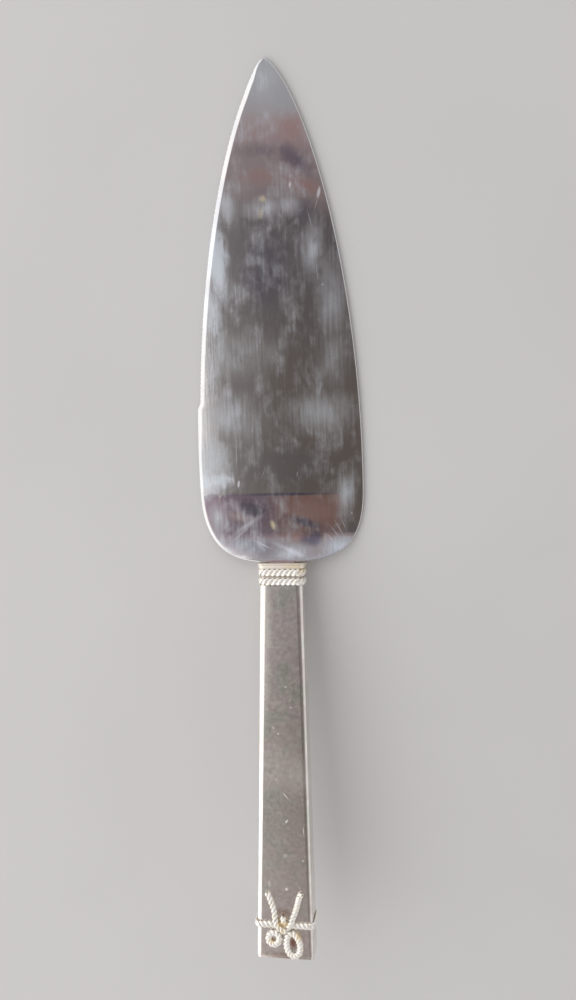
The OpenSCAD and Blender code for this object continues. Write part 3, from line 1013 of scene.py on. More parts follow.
    def section(self, x: float, y: float, out_x: float, out_y: float, turned: float) -> list[Point]:
        """Make one row's closed section.

        Args:
            x: The outline's half width.
            y: Its distance from the heel.
            out_x: The outward direction's part across.
            out_y: Its part along.
            turned: How far round the heel's corner it is.

        Returns:
            The section's corners in millimetres.
        """
        ends = {}
        for side, slopes in ((-1, GROUND_EDGE), (1, ROUND_EDGE)):
            rim = self.rim(y, side, turned)
            edge = x
            if side < 0:
                fade = min(1.0, (self.length - y) / self.tip_fade)
                edge -= self.set_back * fade * smooth_step(y, self.notch - self.notch_run, self.notch)
            upper = []
            for out, down in slopes:
                inset = rim * (1 - out)
                px = side * max(0.0, edge - inset * out_x)
                py = y - inset * out_y
                upper.append((px, py, self.height(py)[1] - rim * down))
            low_y = y - self.burr * out_y
            edge_z = self.height(y)[0] + self.burr
            low_x = max(0.0, edge - self.burr * out_x)
            lower = [(side * edge, y, edge_z), (side * low_x, low_y, self.height(low_y)[0])]
            ends[side] = upper + lower
        left, right = ends[-1], ends[1]
        top = self._between(left[0], right[0], 1)
        bottom = self._between(right[-1], left[-1], 0)
        return top + right[1:-1] + bottom + left[-2:0:-1]

    def _between(self, first: Point, last: Point, face: int) -> list[Point]:
        """Cross the plate on one face.

        Args:
            first: Where the crossing starts.
            last: Where it ends.
            face: The lower face (0) or the upper one (1).

        Returns:
            The places on the way, both ends included.
        """
        points = []
        for share in spread(0.0, 1.0, self.across):
            y = first[1] + (last[1] - first[1]) * share
            points.append((first[0] + (last[0] - first[0]) * share, y, self.height(y)[face]))
        return points

    def tang_section(self, y: float) -> list[Point]:
        """Make one section of the tang, whose edges are hardly broken.

        Args:
            y: The distance from the heel.

        Returns:
            The section's corners in millimetres.
        """
        rim, half = 0.12, self.tang_width / 2
        low, high = self.height(y)
        ends = {}
        for side in (-1, 1):
            upper = [(side * (half - rim * (1 - out)), y, high - rim * down) for out, down in ROUND_EDGE]
            ends[side] = upper + [(side * half, y, low + self.burr), (side * (half - self.burr), y, low)]
        left, right = ends[-1], ends[1]
        top = self._between(left[0], right[0], 1)
        bottom = self._between(right[-1], left[-1], 0)
        return top + right[1:-1] + bottom + left[-2:0:-1]

    def build(self) -> bpy.types.Object:
        """Build the blade and let its ground edge be scalloped.

        Returns:
            The finished piece.
        """
        self._line = self.middle_line()
        rows = [self.tang_section(y) for y in spread(-self.tang_length, 0.0, 36)]
        rows += [self.section(*row) for row in self.stations()]
        points, faces = loft(rows)
        size = len(rows[0])
        faces.append(tuple(range(size)))
        placed = [(x * MM, self.heel_y + y * MM, z * MM) for x, y, z in points]
        piece = new_piece("leaf_blade", placed, faces, 16.0)
        self._mark_edge(piece)
        return scallop(piece, self)

    def _mark_edge(self, piece: bpy.types.Object) -> None:
        """Give the ground edge's corners an attribute that is 1 at its outside and fades inwards."""
        grind = piece.data.attributes.new("grind", "FLOAT", "POINT")
        for corner, share in zip(piece.data.vertices, grind.data):
            y = (corner.co.y - self.heel_y) / MM
            if corner.co.x >= 0 or y < self.notch - 0.01:
                continue
            fade = min(1.0, (self.length - y) / self.tip_fade)
            edge = self.half_width(min(y, self.length)) - self.set_back * fade
            inside = edge + corner.co.x / MM
            share.value = 1 - smooth_step(inside, 0.0, self.ground_rim * 0.4)

    def dress(self, piece: bpy.types.Object) -> None:
        """Give the blade its steel and tie it to the frame."""
        finish_piece(piece, self.finish.material(), "steel", "blade")


def new_tree(name: str, inputs: dict[str, str]) -> tuple[Graph, bpy.types.Node, dict[str, str]]:
    """Start a tree of geometry nodes.

    Args:
        name: The tree's name.
        inputs: Its inputs besides the geometry, each with its kind of socket.

    Returns:
        The tree, its node of inputs, and each input's identifier.
    """
    tree = bpy.data.node_groups.new(name, "GeometryNodeTree")
    tree.interface.new_socket("Geometry", in_out="INPUT", socket_type="NodeSocketGeometry")
    tree.interface.new_socket("Geometry", in_out="OUTPUT", socket_type="NodeSocketGeometry")
    marks = {
        label: tree.interface.new_socket(label, in_out="INPUT", socket_type=kind).identifier
        for label, kind in inputs.items()
    }
    return Graph(tree), tree.nodes.new("NodeGroupInput"), marks


def close_tree(graph: Graph, given: bpy.types.Node, shape: Wire) -> None:
    """End a tree of geometry nodes with real geometry that has its material.

    Args:
        graph: The tree.
        given: Its input node.
        shape: What it has made.
    """
    real = graph.add("GeometryNodeRealizeInstances", None, Geometry=shape)
    dyed = graph.add(
        "GeometryNodeSetMaterial", None, Geometry=graph.wire(real), Material=graph.wire(given, "Material")
    )
    out = graph.tree.nodes.new("NodeGroupOutput")
    graph.wire(dyed).feed(out.inputs[0])


def run_tree(
    piece: bpy.types.Object, graph: Graph, marks: dict[str, str], values: dict[str, object]
) -> None:
    """Run geometry nodes on a piece and keep the result as its plain mesh.

    Args:
        piece: The piece that carries the starting geometry.
        graph: The tree.
        marks: Each input's identifier.
        values: Each input's value.
    """
    modifier = piece.modifiers.new(graph.tree.name, "NODES")
    modifier.node_group = graph.tree
    for label, value in values.items():
        modifier[marks[label]] = value
    state = bpy.context.evaluated_depsgraph_get()
    mesh = bpy.data.meshes.new_from_object(
        piece.evaluated_get(state), preserve_all_data_layers=True, depsgraph=state
    )
    piece.modifiers.clear()
    piece.data = mesh
    mesh.name = piece.name


def scallop(piece: bpy.types.Object, blade: Blade) -> bpy.types.Object:
    """Grind the fine scallops along the blade's edge with geometry nodes.

    Args:
        piece: The blade with its plain edge, marked by the attribute grind.
        blade: Its sizes.

    Returns:
        The same piece.
    """
    names = ("Pitch", "Depth", "Start", "End")
    inputs = {name: "NodeSocketFloat" for name in names}
    graph, given, marks = new_tree("ScallopedEdge", {**inputs, "Material": "NodeSocketMaterial"})
    pitch, depth, start, end = (graph.wire(given, name) for name in names)
    _, y, _ = graph.wire(graph.add("GeometryNodeInputPosition")).parts()
    along = (y - start) / pitch
    share = along.maths("FRACT")
    bite = share * (share * -1.0 + 1.0) * 4.0 * depth
    inside = along.maths("GREATER_THAN", 0.0) * (end - y).maths("GREATER_THAN", 0.0)
    grind = graph.wire(graph.add("GeometryNodeInputNamedAttribute", {"data_type": "FLOAT"}, Name="grind"))
    shift = graph.add("ShaderNodeCombineXYZ", None, X=bite * inside * grind)
    moved = graph.add(
        "GeometryNodeSetPosition", None, Geometry=graph.wire(given, "Geometry"), Offset=graph.wire(shift)
    )
    close_tree(graph, given, graph.wire(moved))
    ground = blade.length - blade.tip_plain - blade.notch
    teeth = int(ground / blade.scallop_pitch)
    first = blade.heel_y + blade.notch * MM
    run_tree(piece, graph, marks, {
        "Pitch": ground / teeth * MM,
        "Depth": blade.scallop_depth * MM,
        "Start": first,
        "End": first + ground * MM,
        "Material": None,
    })
    piece.data.attributes.remove(piece.data.attributes["grind"])
    for face in piece.data.polygons:
        face.use_smooth = True
    return piece


def finish_piece(piece: bpy.types.Object, material: bpy.types.Material, slot: str, *nodes: str) -> None:
    """Give a piece its material and body, and hide the CAD solids that it stands for.

    Args:
        piece: The finished piece.
        material: Its material.
        slot: Not used.
        nodes: The CAD nodes that it stands for.
    """
    piece.data.materials.clear()
    piece.data.materials.append(material)
    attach(piece, "root")
    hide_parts(*nodes)
    LOG.info("%s: %d faces, %s", piece.name, len(piece.data.polygons), material.name)


# ---- the handle


@dataclass(frozen=True)
class HandleFrame:
    """The handle's own axes: across, back from the heel and up from its middle line, in millimetres."""

    heel_y: float
    axis_z: float
    rise: float

    def at(self, across: float, back: float, up: float) -> Point:
        """Give a place on the handle.

        Args:
            across: Its distance to the right of the handle's middle.
            back: Its distance behind the heel.
            up: Its height over the handle's middle line.

        Returns:
            The place in metres.
        """
        cos, sin = math.cos(math.radians(self.rise)), math.sin(math.radians(self.rise))
        y = -back * cos + up * sin
        z = self.axis_z + back * sin + up * cos
        return across * MM, self.heel_y + y * MM, z * MM

    def axis(self) -> Vector:
        """Give the direction from the butt to the blade."""
        angle = math.radians(self.rise)
        return Vector((0.0, math.cos(angle), -math.sin(angle)))

    def up(self) -> Vector:
        """Give the direction out of the handle's face."""
        angle = math.radians(self.rise)
        return Vector((0.0, math.sin(angle), math.cos(angle)))


class Half(Enum):
    """The two pressed halves of the hollow handle."""

    FRONT = 1
    BACK = -1


# How the steps of a pressed edge's bevel are spaced
BEVEL_STEPS = (0.0, 0.05, 0.15, 0.35, 0.6, 0.8, 1.0)


@dataclass
class Handle:
    """The hollow handle: two pressed halves and the plate that closes its butt, in millimetres."""

    finish: Finish
    axes: HandleFrame
    length: float = 127.0
    width_front: float = 13.6
    width_butt: float = 18.4
    thick_front: float = 7.4
    thick_butt: float = 9.6
    edge_front: float = 1.9
    edge_butt: float = 1.3
    wall: float = 0.7
    start: float = 7.22
    cap: float = 1.0
    cap_round: float = 0.3
    seam: float = 0.02
    seam_break: float = 0.1

    def width(self, back: float) -> float:
        """Give the width at a distance behind the heel."""
        return self.width_front + (self.width_butt - self.width_front) * back / self.length

    def thick(self, back: float) -> float:
        """Give the thickness at a distance behind the heel."""
        return self.thick_front + (self.thick_butt - self.thick_front) * back / self.length

    def edge(self, back: float) -> float:
        """Give the long edges' radius at a distance behind the heel."""
        return self.edge_front + (self.edge_butt - self.edge_front) * back / self.length

    def half_loop(self, back: float, inset: float) -> list[Spot]:
        """Trace the upper half of the section from left to right.

        Args:
            back: The distance behind the heel.
            inset: How far inside the skin it lies.

        Returns:
            Places across and up.
        """
        half = self.width(back) / 2 - inset
        top = self.thick(back) / 2 - inset
        radius = self.edge(back) - inset
        first = self.seam + (self.seam_break if inset == 0 else 0.0)
        bend = [(half + x, top + y) for x, y in soft_edge(radius)]
        side = [(half, first), (half, bend[0][1] * 0.5)]
        flat = [half - radius - 0.15] + [(half - radius) * share for share in (0.66, 0.33, 0.0)]
        right = side + bend + [(x, top) for x in flat]
        return [(-x, y) for x, y in right] + right[-2::-1]

    def build_half(self, half: Half) -> bpy.types.Object:
        """Build one pressed half, with its wall and its broken seam edges.

        Args:
            half: Which half.

        Returns:
            The piece.
        """
        rows = []
        for back in spread(self.start, self.length - self.cap, 40):
            outer = self.half_loop(back, 0.0)
            inner = self.half_loop(back, self.wall)
            edge = self.width(back) / 2
            loop = [(-edge + self.seam_break, self.seam)] + outer + [(edge - self.seam_break, self.seam)]
            loop += inner[::-1]
            rows.append([self.axes.at(x, back, half.value * up) for x, up in loop])
        points, faces = loft(rows, capped=False)
        size = len(rows[0])
        count = len(self.half_loop(self.start, 0.0))
        for base in (0, (len(rows) - 1) * size):
            for k in range(count - 1):
                faces.append((base + 1 + k, base + 2 + k, base + size - 2 - k, base + size - 1 - k))
            faces.append((base, base + 1, base + size - 1))
            faces.append((base + count, base + count + 1, base + count + 2))
        return new_piece(f"handle_{half.name.lower()}", points, faces, 32.0)

    def full_loop(self, back: float, width: float, thick: float, radius: float) -> list[Point]:
        """Trace a whole rounded rectangle across the handle.

        Args:
            back: The distance behind the heel.
            width: Its width.
            thick: Its thickness.
            radius: Its corners' radius.

        Returns:
            Its corners in metres.
        """
        return [self.axes.at(x, back, up) for x, up in rounded(width, thick, radius)]

    def build_cap(self) -> bpy.types.Object:
        """Build the plate that closes the butt, with a softly rounded edge.

        Returns:
            The plate.
        """
        start = self.length - self.cap
        wide, thick, radius = self.width(start), self.thick(start), self.edge(start)
        steps = [(start + 0.02, 0.08), (start + 0.1, 0.0), (self.length - self.cap_round, 0.0)]
        for angle in spread(0.0, math.pi / 2, 6)[1:]:
            steps.append((
                self.length - self.cap_round * (1 - math.sin(angle)),
                self.cap_round * (1 - math.cos(angle)),
            ))
        rows = [
            self.full_loop(back, wide - 2 * inset, thick - 2 * inset, radius - inset)
            for back, inset in steps
        ]
        points, faces = loft(rows, capped=True)
        return new_piece("handle_butt_plate", points, faces, 32.0)

    def dress(self) -> None:
        """Build and finish the three pieces."""
        material = self.finish.material()
        finish_piece(self.build_half(Half.FRONT), material, "silver_plate", "handle_front_shell")
        finish_piece(self.build_half(Half.BACK), material, "silver_plate", "handle_back_shell")
        finish_piece(self.build_cap(), material, "silver_plate", "butt_cap")


def soft_edge(width: float) -> list[Spot]:
    """Trace a pressed edge: a gently curved bevel that ends in a small round corner.

    Args:
        width: How far in from the side the bevel reaches.

    Returns:
        Places from the side up to the face, from the corner where the two would meet.
    """
    steep = math.radians(36.0)
    small = 0.3 / (1 - math.sin(steep))
    small = min(small, width / 2)
    run = width - small * (1 - math.sin(steep))
    spots = [(-width, 0.0)]
    for low, high in zip(BEVEL_STEPS, BEVEL_STEPS[1:]):
        slope = math.radians(9.0) + (steep - math.radians(9.0)) * (low + high) / 2
        x, y = spots[-1]
        spots.append((x + run * (high - low), y - run * (high - low) * math.tan(slope)))
    x, y = spots[-1]
    middle = (x - small * math.sin(steep), y - small * math.cos(steep))
    for angle in spread(steep, math.pi / 2, 6)[1:]:
        spots.append((middle[0] + small * math.sin(angle), middle[1] + small * math.cos(angle)))
    return spots[::-1]


def rounded(width: float, thick: float, radius: float, corner: int = 10) -> list[Spot]:
    """Trace a rounded rectangle about the middle.

    Args:
        width: Its width.
        thick: Its thickness.
        radius: Its corners' radius.
        corner: How many steps round each corner.

    Returns:
        Its corners, anticlockwise.
    """
    points = []
    for turn, (side, top) in enumerate(((1, 1), (-1, 1), (-1, -1), (1, -1))):
        for angle in spread(turn * math.pi / 2, (turn + 1) * math.pi / 2, corner):
            x = side * (width / 2 - radius) + radius * math.cos(angle)
            points.append((x, top * (thick / 2 - radius) + radius * math.sin(angle)))
    return points


# ---- the collar


@dataclass
class Collar:
    """The flared ferrule with its rim, plain band, two seats for ropes and spigot, in millimetres."""

    finish: Finish
    handle: Handle
    gap: float = 0.2
    rim: float = 0.8
    band: float = 1.05
    rim_side: float = 0.95
    rim_face: float = 0.5
    band_side: float = 0.55
    band_face: float = 0.3
    seat: float = 2.46
    seat_depth: float = 0.45
    land: float = 0.45
    spigot: float = 5.0
    fit: float = 0.05
    slot_width: float = 8.3
    slot_thick: float = 2.2

    def profile(self) -> list[tuple[float, float, float, float, float]]:
        """Lay out the outside from the front to the spigot's end.

        Returns:
            For each step the distance back, width, thickness, corner radius and how high the ground is.
        """
        hand = self.handle
        wide, thick, edge = hand.width_front, hand.thick_front, hand.edge_front
        rim_w, rim_t = wide + 2 * self.rim_side, thick + 2 * self.rim_face
        flange = self.rim + self.band
        back_w = hand.width(flange) + 2 * self.band_side
        back_t = hand.thick(flange) + 2 * self.band_face
        seat_w = hand.width(flange) - 2 * self.seat_depth
        seat_t = hand.thick(flange) - 2 * self.seat_depth
        seat_r = edge - self.seat_depth
        land = flange + self.seat
        shell = land + self.land + self.seat
        tube_w = hand.width(shell) - 2 * hand.wall - 2 * self.fit
        tube_t = hand.thick(shell) - 2 * hand.wall - 2 * self.fit
        tube_r = hand.edge(shell) - hand.wall - self.fit
        soft, groove = 0.12, 0.14
        steps = [
            (self.gap, rim_w - 2 * soft, rim_t - 2 * soft, edge - soft, 0.66),
            (self.gap + soft * 0.4, rim_w - soft, rim_t - soft, edge - soft / 2, 0.62),
            (self.gap + soft, rim_w, rim_t, edge, 1.0),
            (self.rim - 0.22, rim_w, rim_t, edge, 0.62),
            (self.rim - 0.1, rim_w - groove, rim_t - groove, edge - groove / 2, 0.45),
            (self.rim + 0.02, rim_w - 0.1, rim_t - 0.1, edge, 0.8),
        ]
        for share in spread(0.0, 1.0, 6)[1:]:
            bow = math.sin(math.pi * share) * 0.1
            steps.append((
                self.rim + (self.band - soft) * share,
                rim_w - 0.1 + (back_w - rim_w + 0.1) * share - bow,
                rim_t - 0.1 + (back_t - rim_t + 0.1) * share - bow,
                edge,
                1.0,
            ))
        steps += [
            (flange - 0.02, back_w - 0.1, back_t - 0.1, edge, 0.9),
            (flange, back_w - 0.3, back_t - 0.3, edge - 0.1, 0.6),
            (flange + 0.01, seat_w, seat_t, seat_r, 0.3),
            (land, seat_w, seat_t, seat_r, 0.3),
            (land + 0.01, hand.width(land) - 0.16, hand.thick(land) - 0.16, hand.edge(land), 0.5),
            (land + 0.1, hand.width(land), hand.thick(land), hand.edge(land), 0.7),
            (land + self.land - 0.1, hand.width(land), hand.thick(land), hand.edge(land), 0.7),
            (land + self.land, hand.width(land) - 0.16, hand.thick(land) - 0.16, hand.edge(land), 0.5),
            (land + self.land + 0.01, seat_w, seat_t, seat_r, 0.3),
            (shell, seat_w, seat_t, seat_r, 0.3),
            (shell + 0.01, tube_w, tube_t, tube_r, 0.3),
            (shell + self.spigot, tube_w, tube_t, tube_r, 0.3),
        ]
        return steps

    def build(self) -> bpy.types.Object:
        """Build the collar as a sleeve round the tang.

        Returns:
            The piece, with how high its ground is as an attribute.
        """
        profile = self.profile()
        axes = self.handle.axes
        rows, ground = [], []
        for back, width, thick, radius, high in profile:
            loop = rounded(width, thick, radius)
            rows.append([axes.at(x, back, up) for x, up in loop])
            ground += [high] * len(loop)
        for back, drop in ((profile[-1][0], 0.0), (profile[0][0], -0.15)):
            loop = rounded(self.slot_width, self.slot_thick, 0.2)
            rows.append([axes.at(x, back, up + drop) for x, up in loop])
            ground += [0.6] * len(loop)
        points, faces = loft(rows, closed=True)
        piece = new_piece("flared_collar", points, faces, 35.0)
        high = piece.data.attributes.new("crest", "FLOAT", "POINT")
        table = {tuple(round(c / MM, 2) for c in point): value for point, value in zip(points, ground)}
        for corner, share in zip(piece.data.vertices, high.data):
            share.value = table.get(tuple(round(c / MM, 2) for c in corner.co), 0.8)
        return piece

    def dress(self) -> None:
        """Build and finish the collar."""
        finish_piece(self.build(), self.finish.material(), "trim", "collar")


# ---- ropes


@dataclass
class RopeTree:
    """Geometry nodes that twist strands of wire along a route and press them flat.

    Attributes:
        strands: How many strands the rope has.
        sides: How many sides a strand has.
        rings: How many sections each twist has.
    """

    strands: int = 2
    sides: int = 12
    rings: int = 18
    strand_off: float = 0.26
    strand_size: float = 0.257

    def __post_init__(self) -> None:
        """Build the tree once for all ropes."""
        numbers = ("Diameter", "Flatness", "Twists", "Wraps")
        inputs = {name: "NodeSocketFloat" for name in numbers}
        inputs.update({
            "Reference": "NodeSocketVector", "Sections": "NodeSocketInt", "Material": "NodeSocketMaterial",
        })
        graph, given, self.marks = new_tree("TwistedRope", inputs)
        diameter, flat, twists, wraps = (graph.wire(given, name) for name in numbers)
        line = graph.add("GeometryNodeMeshToCurve", None, Mesh=graph.wire(given, "Geometry"))
        even = graph.add(
            "GeometryNodeResampleCurve", {"mode": "COUNT"},
            Curve=graph.wire(line), Count=graph.wire(given, "Sections"),
        )
        ahead = graph.wire(graph.add("GeometryNodeInputTangent"))
        reference = graph.wire(given, "Reference")
        across = ahead.vector("CROSS_PRODUCT", reference).vector("NORMALIZE")
        side = across.scaled(wraps * -1.0 + 1.0).vector("ADD", reference.scaled(wraps))
        lift = side.vector("CROSS_PRODUCT", ahead).vector("NORMALIZE")
        shape = self._keep(graph, graph.wire(even), "side", side)
        shape = self._keep(graph, shape, "lift", lift)
        shape = self._keep(graph, shape, "route", graph.wire(graph.add("GeometryNodeInputPosition")))
        copies = graph.add(
            "GeometryNodeDuplicateElements", {"domain": "SPLINE"}, Geometry=shape, Amount=self.strands
        )
        turn = graph.wire(copies, "Duplicate Index") / float(self.strands)
        gone = graph.wire(graph.add("GeometryNodeSplineParameter"), "Factor")
        angle = (turn + gone * twists) * (2 * math.pi)
        kept_side, kept_lift, route = (self._read(graph, name) for name in ("side", "lift", "route"))
        arm = kept_lift.scaled(angle.maths("COSINE")).vector("ADD", kept_side.scaled(angle.maths("SINE")))
        wound = graph.add(
            "GeometryNodeSetPosition", None,
            Geometry=graph.wire(copies), Offset=arm.scaled(diameter * self.strand_off),
        )
        ring = graph.add(
            "GeometryNodeCurvePrimitiveCircle", {"mode": "RADIUS"},
            Resolution=self.sides, Radius=diameter * self.strand_size,
        )
        skin = graph.add(
            "GeometryNodeCurveToMesh", None,
            **{"Curve": graph.wire(wound), "Profile_Curve": graph.wire(ring, "Curve"), "Fill_Caps": True},
        )
        away = graph.wire(graph.add("GeometryNodeInputPosition")).vector("SUBTRACT", route)
        crest = away.length() / (diameter * (self.strand_off + self.strand_size))
        shape = self._keep(graph, graph.wire(skin), "crest", crest, "FLOAT")
        squeeze = kept_lift.scaled(away.dot(kept_lift) * (flat - 1.0))
        pressed = graph.add("GeometryNodeSetPosition", None, Geometry=shape, Offset=squeeze)
        smooth = graph.add("GeometryNodeSetShadeSmooth", None, Geometry=graph.wire(pressed))
        close_tree(graph, given, graph.wire(smooth))
        self.graph = graph

    @staticmethod
    def _keep(graph: Graph, shape: Wire, name: str, value: Wire, kind: str = "FLOAT_VECTOR") -> Wire:
        """Store a value on the shape's points."""
        return graph.wire(graph.add(
            "GeometryNodeStoreNamedAttribute", {"data_type": kind, "domain": "POINT"},
            Geometry=shape, Name=name, Value=value,
        ))

    @staticmethod
    def _read(graph: Graph, name: str) -> Wire:
        """Read a stored vector."""
        stored = graph.add("GeometryNodeInputNamedAttribute", {"data_type": "FLOAT_VECTOR"}, Name=name)
        return graph.wire(stored)

    def make(
        self, name: str, route: list[Point], rope: "Rope", hand: int, reference: Vector
    ) -> bpy.types.Object:
        """Twist a rope along a route.

        Args:
            name: The piece's name.
            route: The rope's middle line in metres.
            rope: Its sizes.
            hand: 1 or -1, for the way it is twisted.
            reference: The handle's axis for a ring, or the direction away from the face.

        Returns:
            The piece.
        """
        mesh = bpy.data.meshes.new(name)
        links = [(i, i + 1) for i in range(len(route) - 1)]
        if rope.closed:
            links.append((len(route) - 1, 0))
        mesh.from_pydata(route, links, [])
        piece = bpy.data.objects.new(name, mesh)
        bpy.context.scene.collection.objects.link(piece)
        run = sum((Vector(route[a]) - Vector(route[b])).length for a, b in links) / MM
        twists = max(1, round(run / (rope.lay * rope.diameter)))
        sections = twists * self.rings + (0 if rope.closed else 1)
        run_tree(piece, self.graph, self.marks, {
            "Diameter": rope.diameter * MM,
            "Flatness": rope.flat,
            "Twists": float(hand * twists),
            "Wraps": 1.0 if rope.wraps else 0.0,
            "Reference": tuple(reference),
            "Sections": sections,
            "Material": None,
        })
        for spare in ("side", "lift", "route"):
            piece.data.attributes.remove(piece.data.attributes[spare])
        return piece


@dataclass(frozen=True)
class Rope:
    """A rope's sizes in millimetres.

    Attributes:
        diameter: Its diameter before it is pressed.
        flat: Its height as a share of that.
        closed: Whether it joins itself.
        wraps: Whether it goes round the handle.
        lay: One twist's length, in diameters.
    """

    diameter: float
    flat: float
    closed: bool = False
    wraps: bool = False
    lay: float = 1.42


@dataclass
class RopeTrim:
    """The two rope rings at the collar, the rope band near the butt and the bow, in millimetres."""

    finish: Finish
    handle: Handle
    collar: Collar
    twister: RopeTree
    ring_d: float = 2.4
    ring_flat: float = 0.5
    band_d: float = 2.1
    band_flat: float = 0.42
    bow_d: float = 1.9
    bow_flat: float = 0.65
    bow_drop: float = 5.55
    bow_margin: float = 0.5
    gap: float = 0.03

    def ring_route(
        self, back: float, width: float, thick: float, radius: float, lift: float
    ) -> list[Point]:
        """Lead a rope round the handle.

        Args:
            back: The distance behind the heel.
            width: The width of what it lies on.
            thick: Its thickness.
            radius: Its corners' radius.
            lift: How far the rope's middle lies off it.

        Returns:
            The route in metres.
        """
        loop = rounded(width + 2 * lift, thick + 2 * lift, radius + lift, corner=16)
        return [self.handle.axes.at(x, back, up) for x, up in loop]

    def build_rings(self) -> list[tuple[bpy.types.Object, str]]:
        """Build the three ropes that go round the handle.

        Returns:
            Each piece with the CAD node that it stands for.
        """
        hand, collar = self.handle, self.collar
        flange = collar.rim + collar.band
        seat_w = hand.width(flange) - 2 * collar.seat_depth
        seat_t = hand.thick(flange) - 2 * collar.seat_depth
        seat_r = hand.edge_front - collar.seat_depth
        ring = Rope(self.ring_d, self.ring_flat, closed=True, wraps=True, lay=1.36)
        lift = self.ring_d * self.ring_flat / 2 + self.gap
        built = []
        upper = flange + collar.seat / 2
        lower = upper + collar.seat + collar.land
        for name, back, way in (("collar_rope_upper", upper, -1), ("collar_rope_lower", lower, -1)):
            route = self.ring_route(back, seat_w, seat_t, seat_r, lift)
            piece = self.twister.make(f"{name}_wire", route, ring, way, hand.axes.axis())
            built.append((piece, name))
        band = Rope(self.band_d, self.band_flat, closed=True, wraps=True, lay=1.36)
        lift = self.band_d * self.band_flat / 2 + self.gap
        far = self.band_back + self.band_d / 2
        route = self.ring_route(self.band_back, hand.width(far), hand.thick(far), hand.edge_butt, lift)
        built.append((self.twister.make("band_rope_wire", route, band, 1, hand.axes.axis()), "band_rope"))
        return built

    @property
    def band_back(self) -> float:
        """Give the band's distance behind the heel."""
        return self.handle.length - self.bow_margin - self.bow_drop * self.bow_d

    def over_band(self, y: float) -> float:
        """Give how far a rope of the bow is lifted where it crosses the band.

        Args:
            y: The distance from the band's middle.

        Returns:
            The lift.
        """
        flat, run = self.band_d / 2 + 0.3 * self.bow_d, 1.1 * self.bow_d
        share = min(1.0, max(0.0, (abs(y) - flat) / run))
        return (self.band_d * self.band_flat + self.gap) * (1 + math.cos(math.pi * share)) / 2

    def bow_route(self, shape: tuple[Spot, ...], closed: bool, crosses: bool) -> list[Point]:
        """Lead a rope of the bow over the handle's face.

        Args:
            shape: Its turns, in rope diameters from the band's middle.
            closed: Whether it is a loop.
            crosses: Whether it climbs over the band.

        Returns:
            The route in metres.
        """
        height = self.bow_d * self.bow_flat / 2 + self.gap
        points = []
        for x, y in curve_through(shape, closed, 12):
            across, along = x * self.bow_d, y * self.bow_d
            back = self.band_back - along
            up = self.handle.thick(back) / 2 + height
            up += self.over_band(along) if crosses else 0.0
            points.append(self.handle.axes.at(across, back, up))
        return points

    def build_bow(self) -> list[tuple[bpy.types.Object, str]]:
        """Build the bow's five ropes.

        Returns:
            Each piece with the CAD node that it stands for.
        """
        built = []
        for part in BOW:
            rope = Rope(part.thick * self.bow_d, self.bow_flat, closed=part.closed, lay=part.lay)
            route = self.bow_route(part.shape, part.closed, not part.closed)
            piece = self.twister.make(f"{part.node}_wire", route, rope, part.hand, self.handle.axes.up())
            built.append((piece, part.node))
        return built

    def dress(self) -> None:
        """Build and finish all the ropes."""
        material = self.finish.material()
        for piece, node in self.build_rings() + self.build_bow():
            finish_piece(piece, material, "trim", node)


@dataclass(frozen=True)
class BowPart:
    """One rope of the bow.

    Attributes:
        node: The CAD node that it stands for.
        shape: Its turns in rope diameters from the band's middle, x to the right and y to the tip.
        closed: Whether it is a loop.
        hand: The way it is twisted.
        lay: One twist's length, in diameters.
        thick: Its diameter, in the bow's usual diameters.
    """

    node: str
    shape: tuple[Spot, ...]
    closed: bool = False
    hand: int = 1
    lay: float = 1.42
    thick: float = 1.0


def egg(
    middle: Spot, long: float, short: float, turn: float = 0.0, fuller: float = 0.0
) -> tuple[Spot, ...]:
    """Trace an egg-shaped loop, in rope diameters.

    Args:
        middle: Its middle.
        long: Half its length.
        short: Half its width.
        turn: How far it is turned, in degrees.
        fuller: How much fuller its lower end is.

    Returns:
        Places round it.
    """
    cos, sin = math.cos(math.radians(turn)), math.sin(math.radians(turn))
    spots = []
    for angle in spread(0.0, 2 * math.pi, 12, last=False):
        x = short * (1 + fuller * math.cos(angle)) * math.sin(angle)
        y = -long * math.cos(angle)
        spots.append((middle[0] + x * cos - y * sin, middle[1] + x * sin + y * cos))
    return tuple(spots)


BOW = (
    BowPart("bow_tail_left", (
        (-2.92, 5.4), (-2.5, 4.5), (-2.1, 3.45), (-1.77, 2.35), (-1.55, 1.2),
        (-1.36, 0.3), (-0.92, -0.27), (-0.35, -0.62), (0.2, -0.98),
    )),
    BowPart("bow_tail_right", (
        (3.0, 5.3), (2.62, 4.95), (2.38, 4.2), (2.03, 2.85),
        (1.53, 1.45), (1.16, 0.5), (0.84, 0.05), (0.46, -0.29),
    )),
    BowPart("bow_loop_left", egg((-1.83, -2.3), 0.96, 0.93), closed=True, lay=1.1, thick=1.08),
    BowPart("bow_loop_right", egg((1.44, -3.17), 1.93, 1.12, 10.0, 0.1), closed=True, lay=1.2, thick=1.08),
    BowPart("bow_knot", ((-0.2, 1.5), (-0.14, 1.12), (-0.1, 0.78), (-0.08, 0.42)), lay=1.1),
)


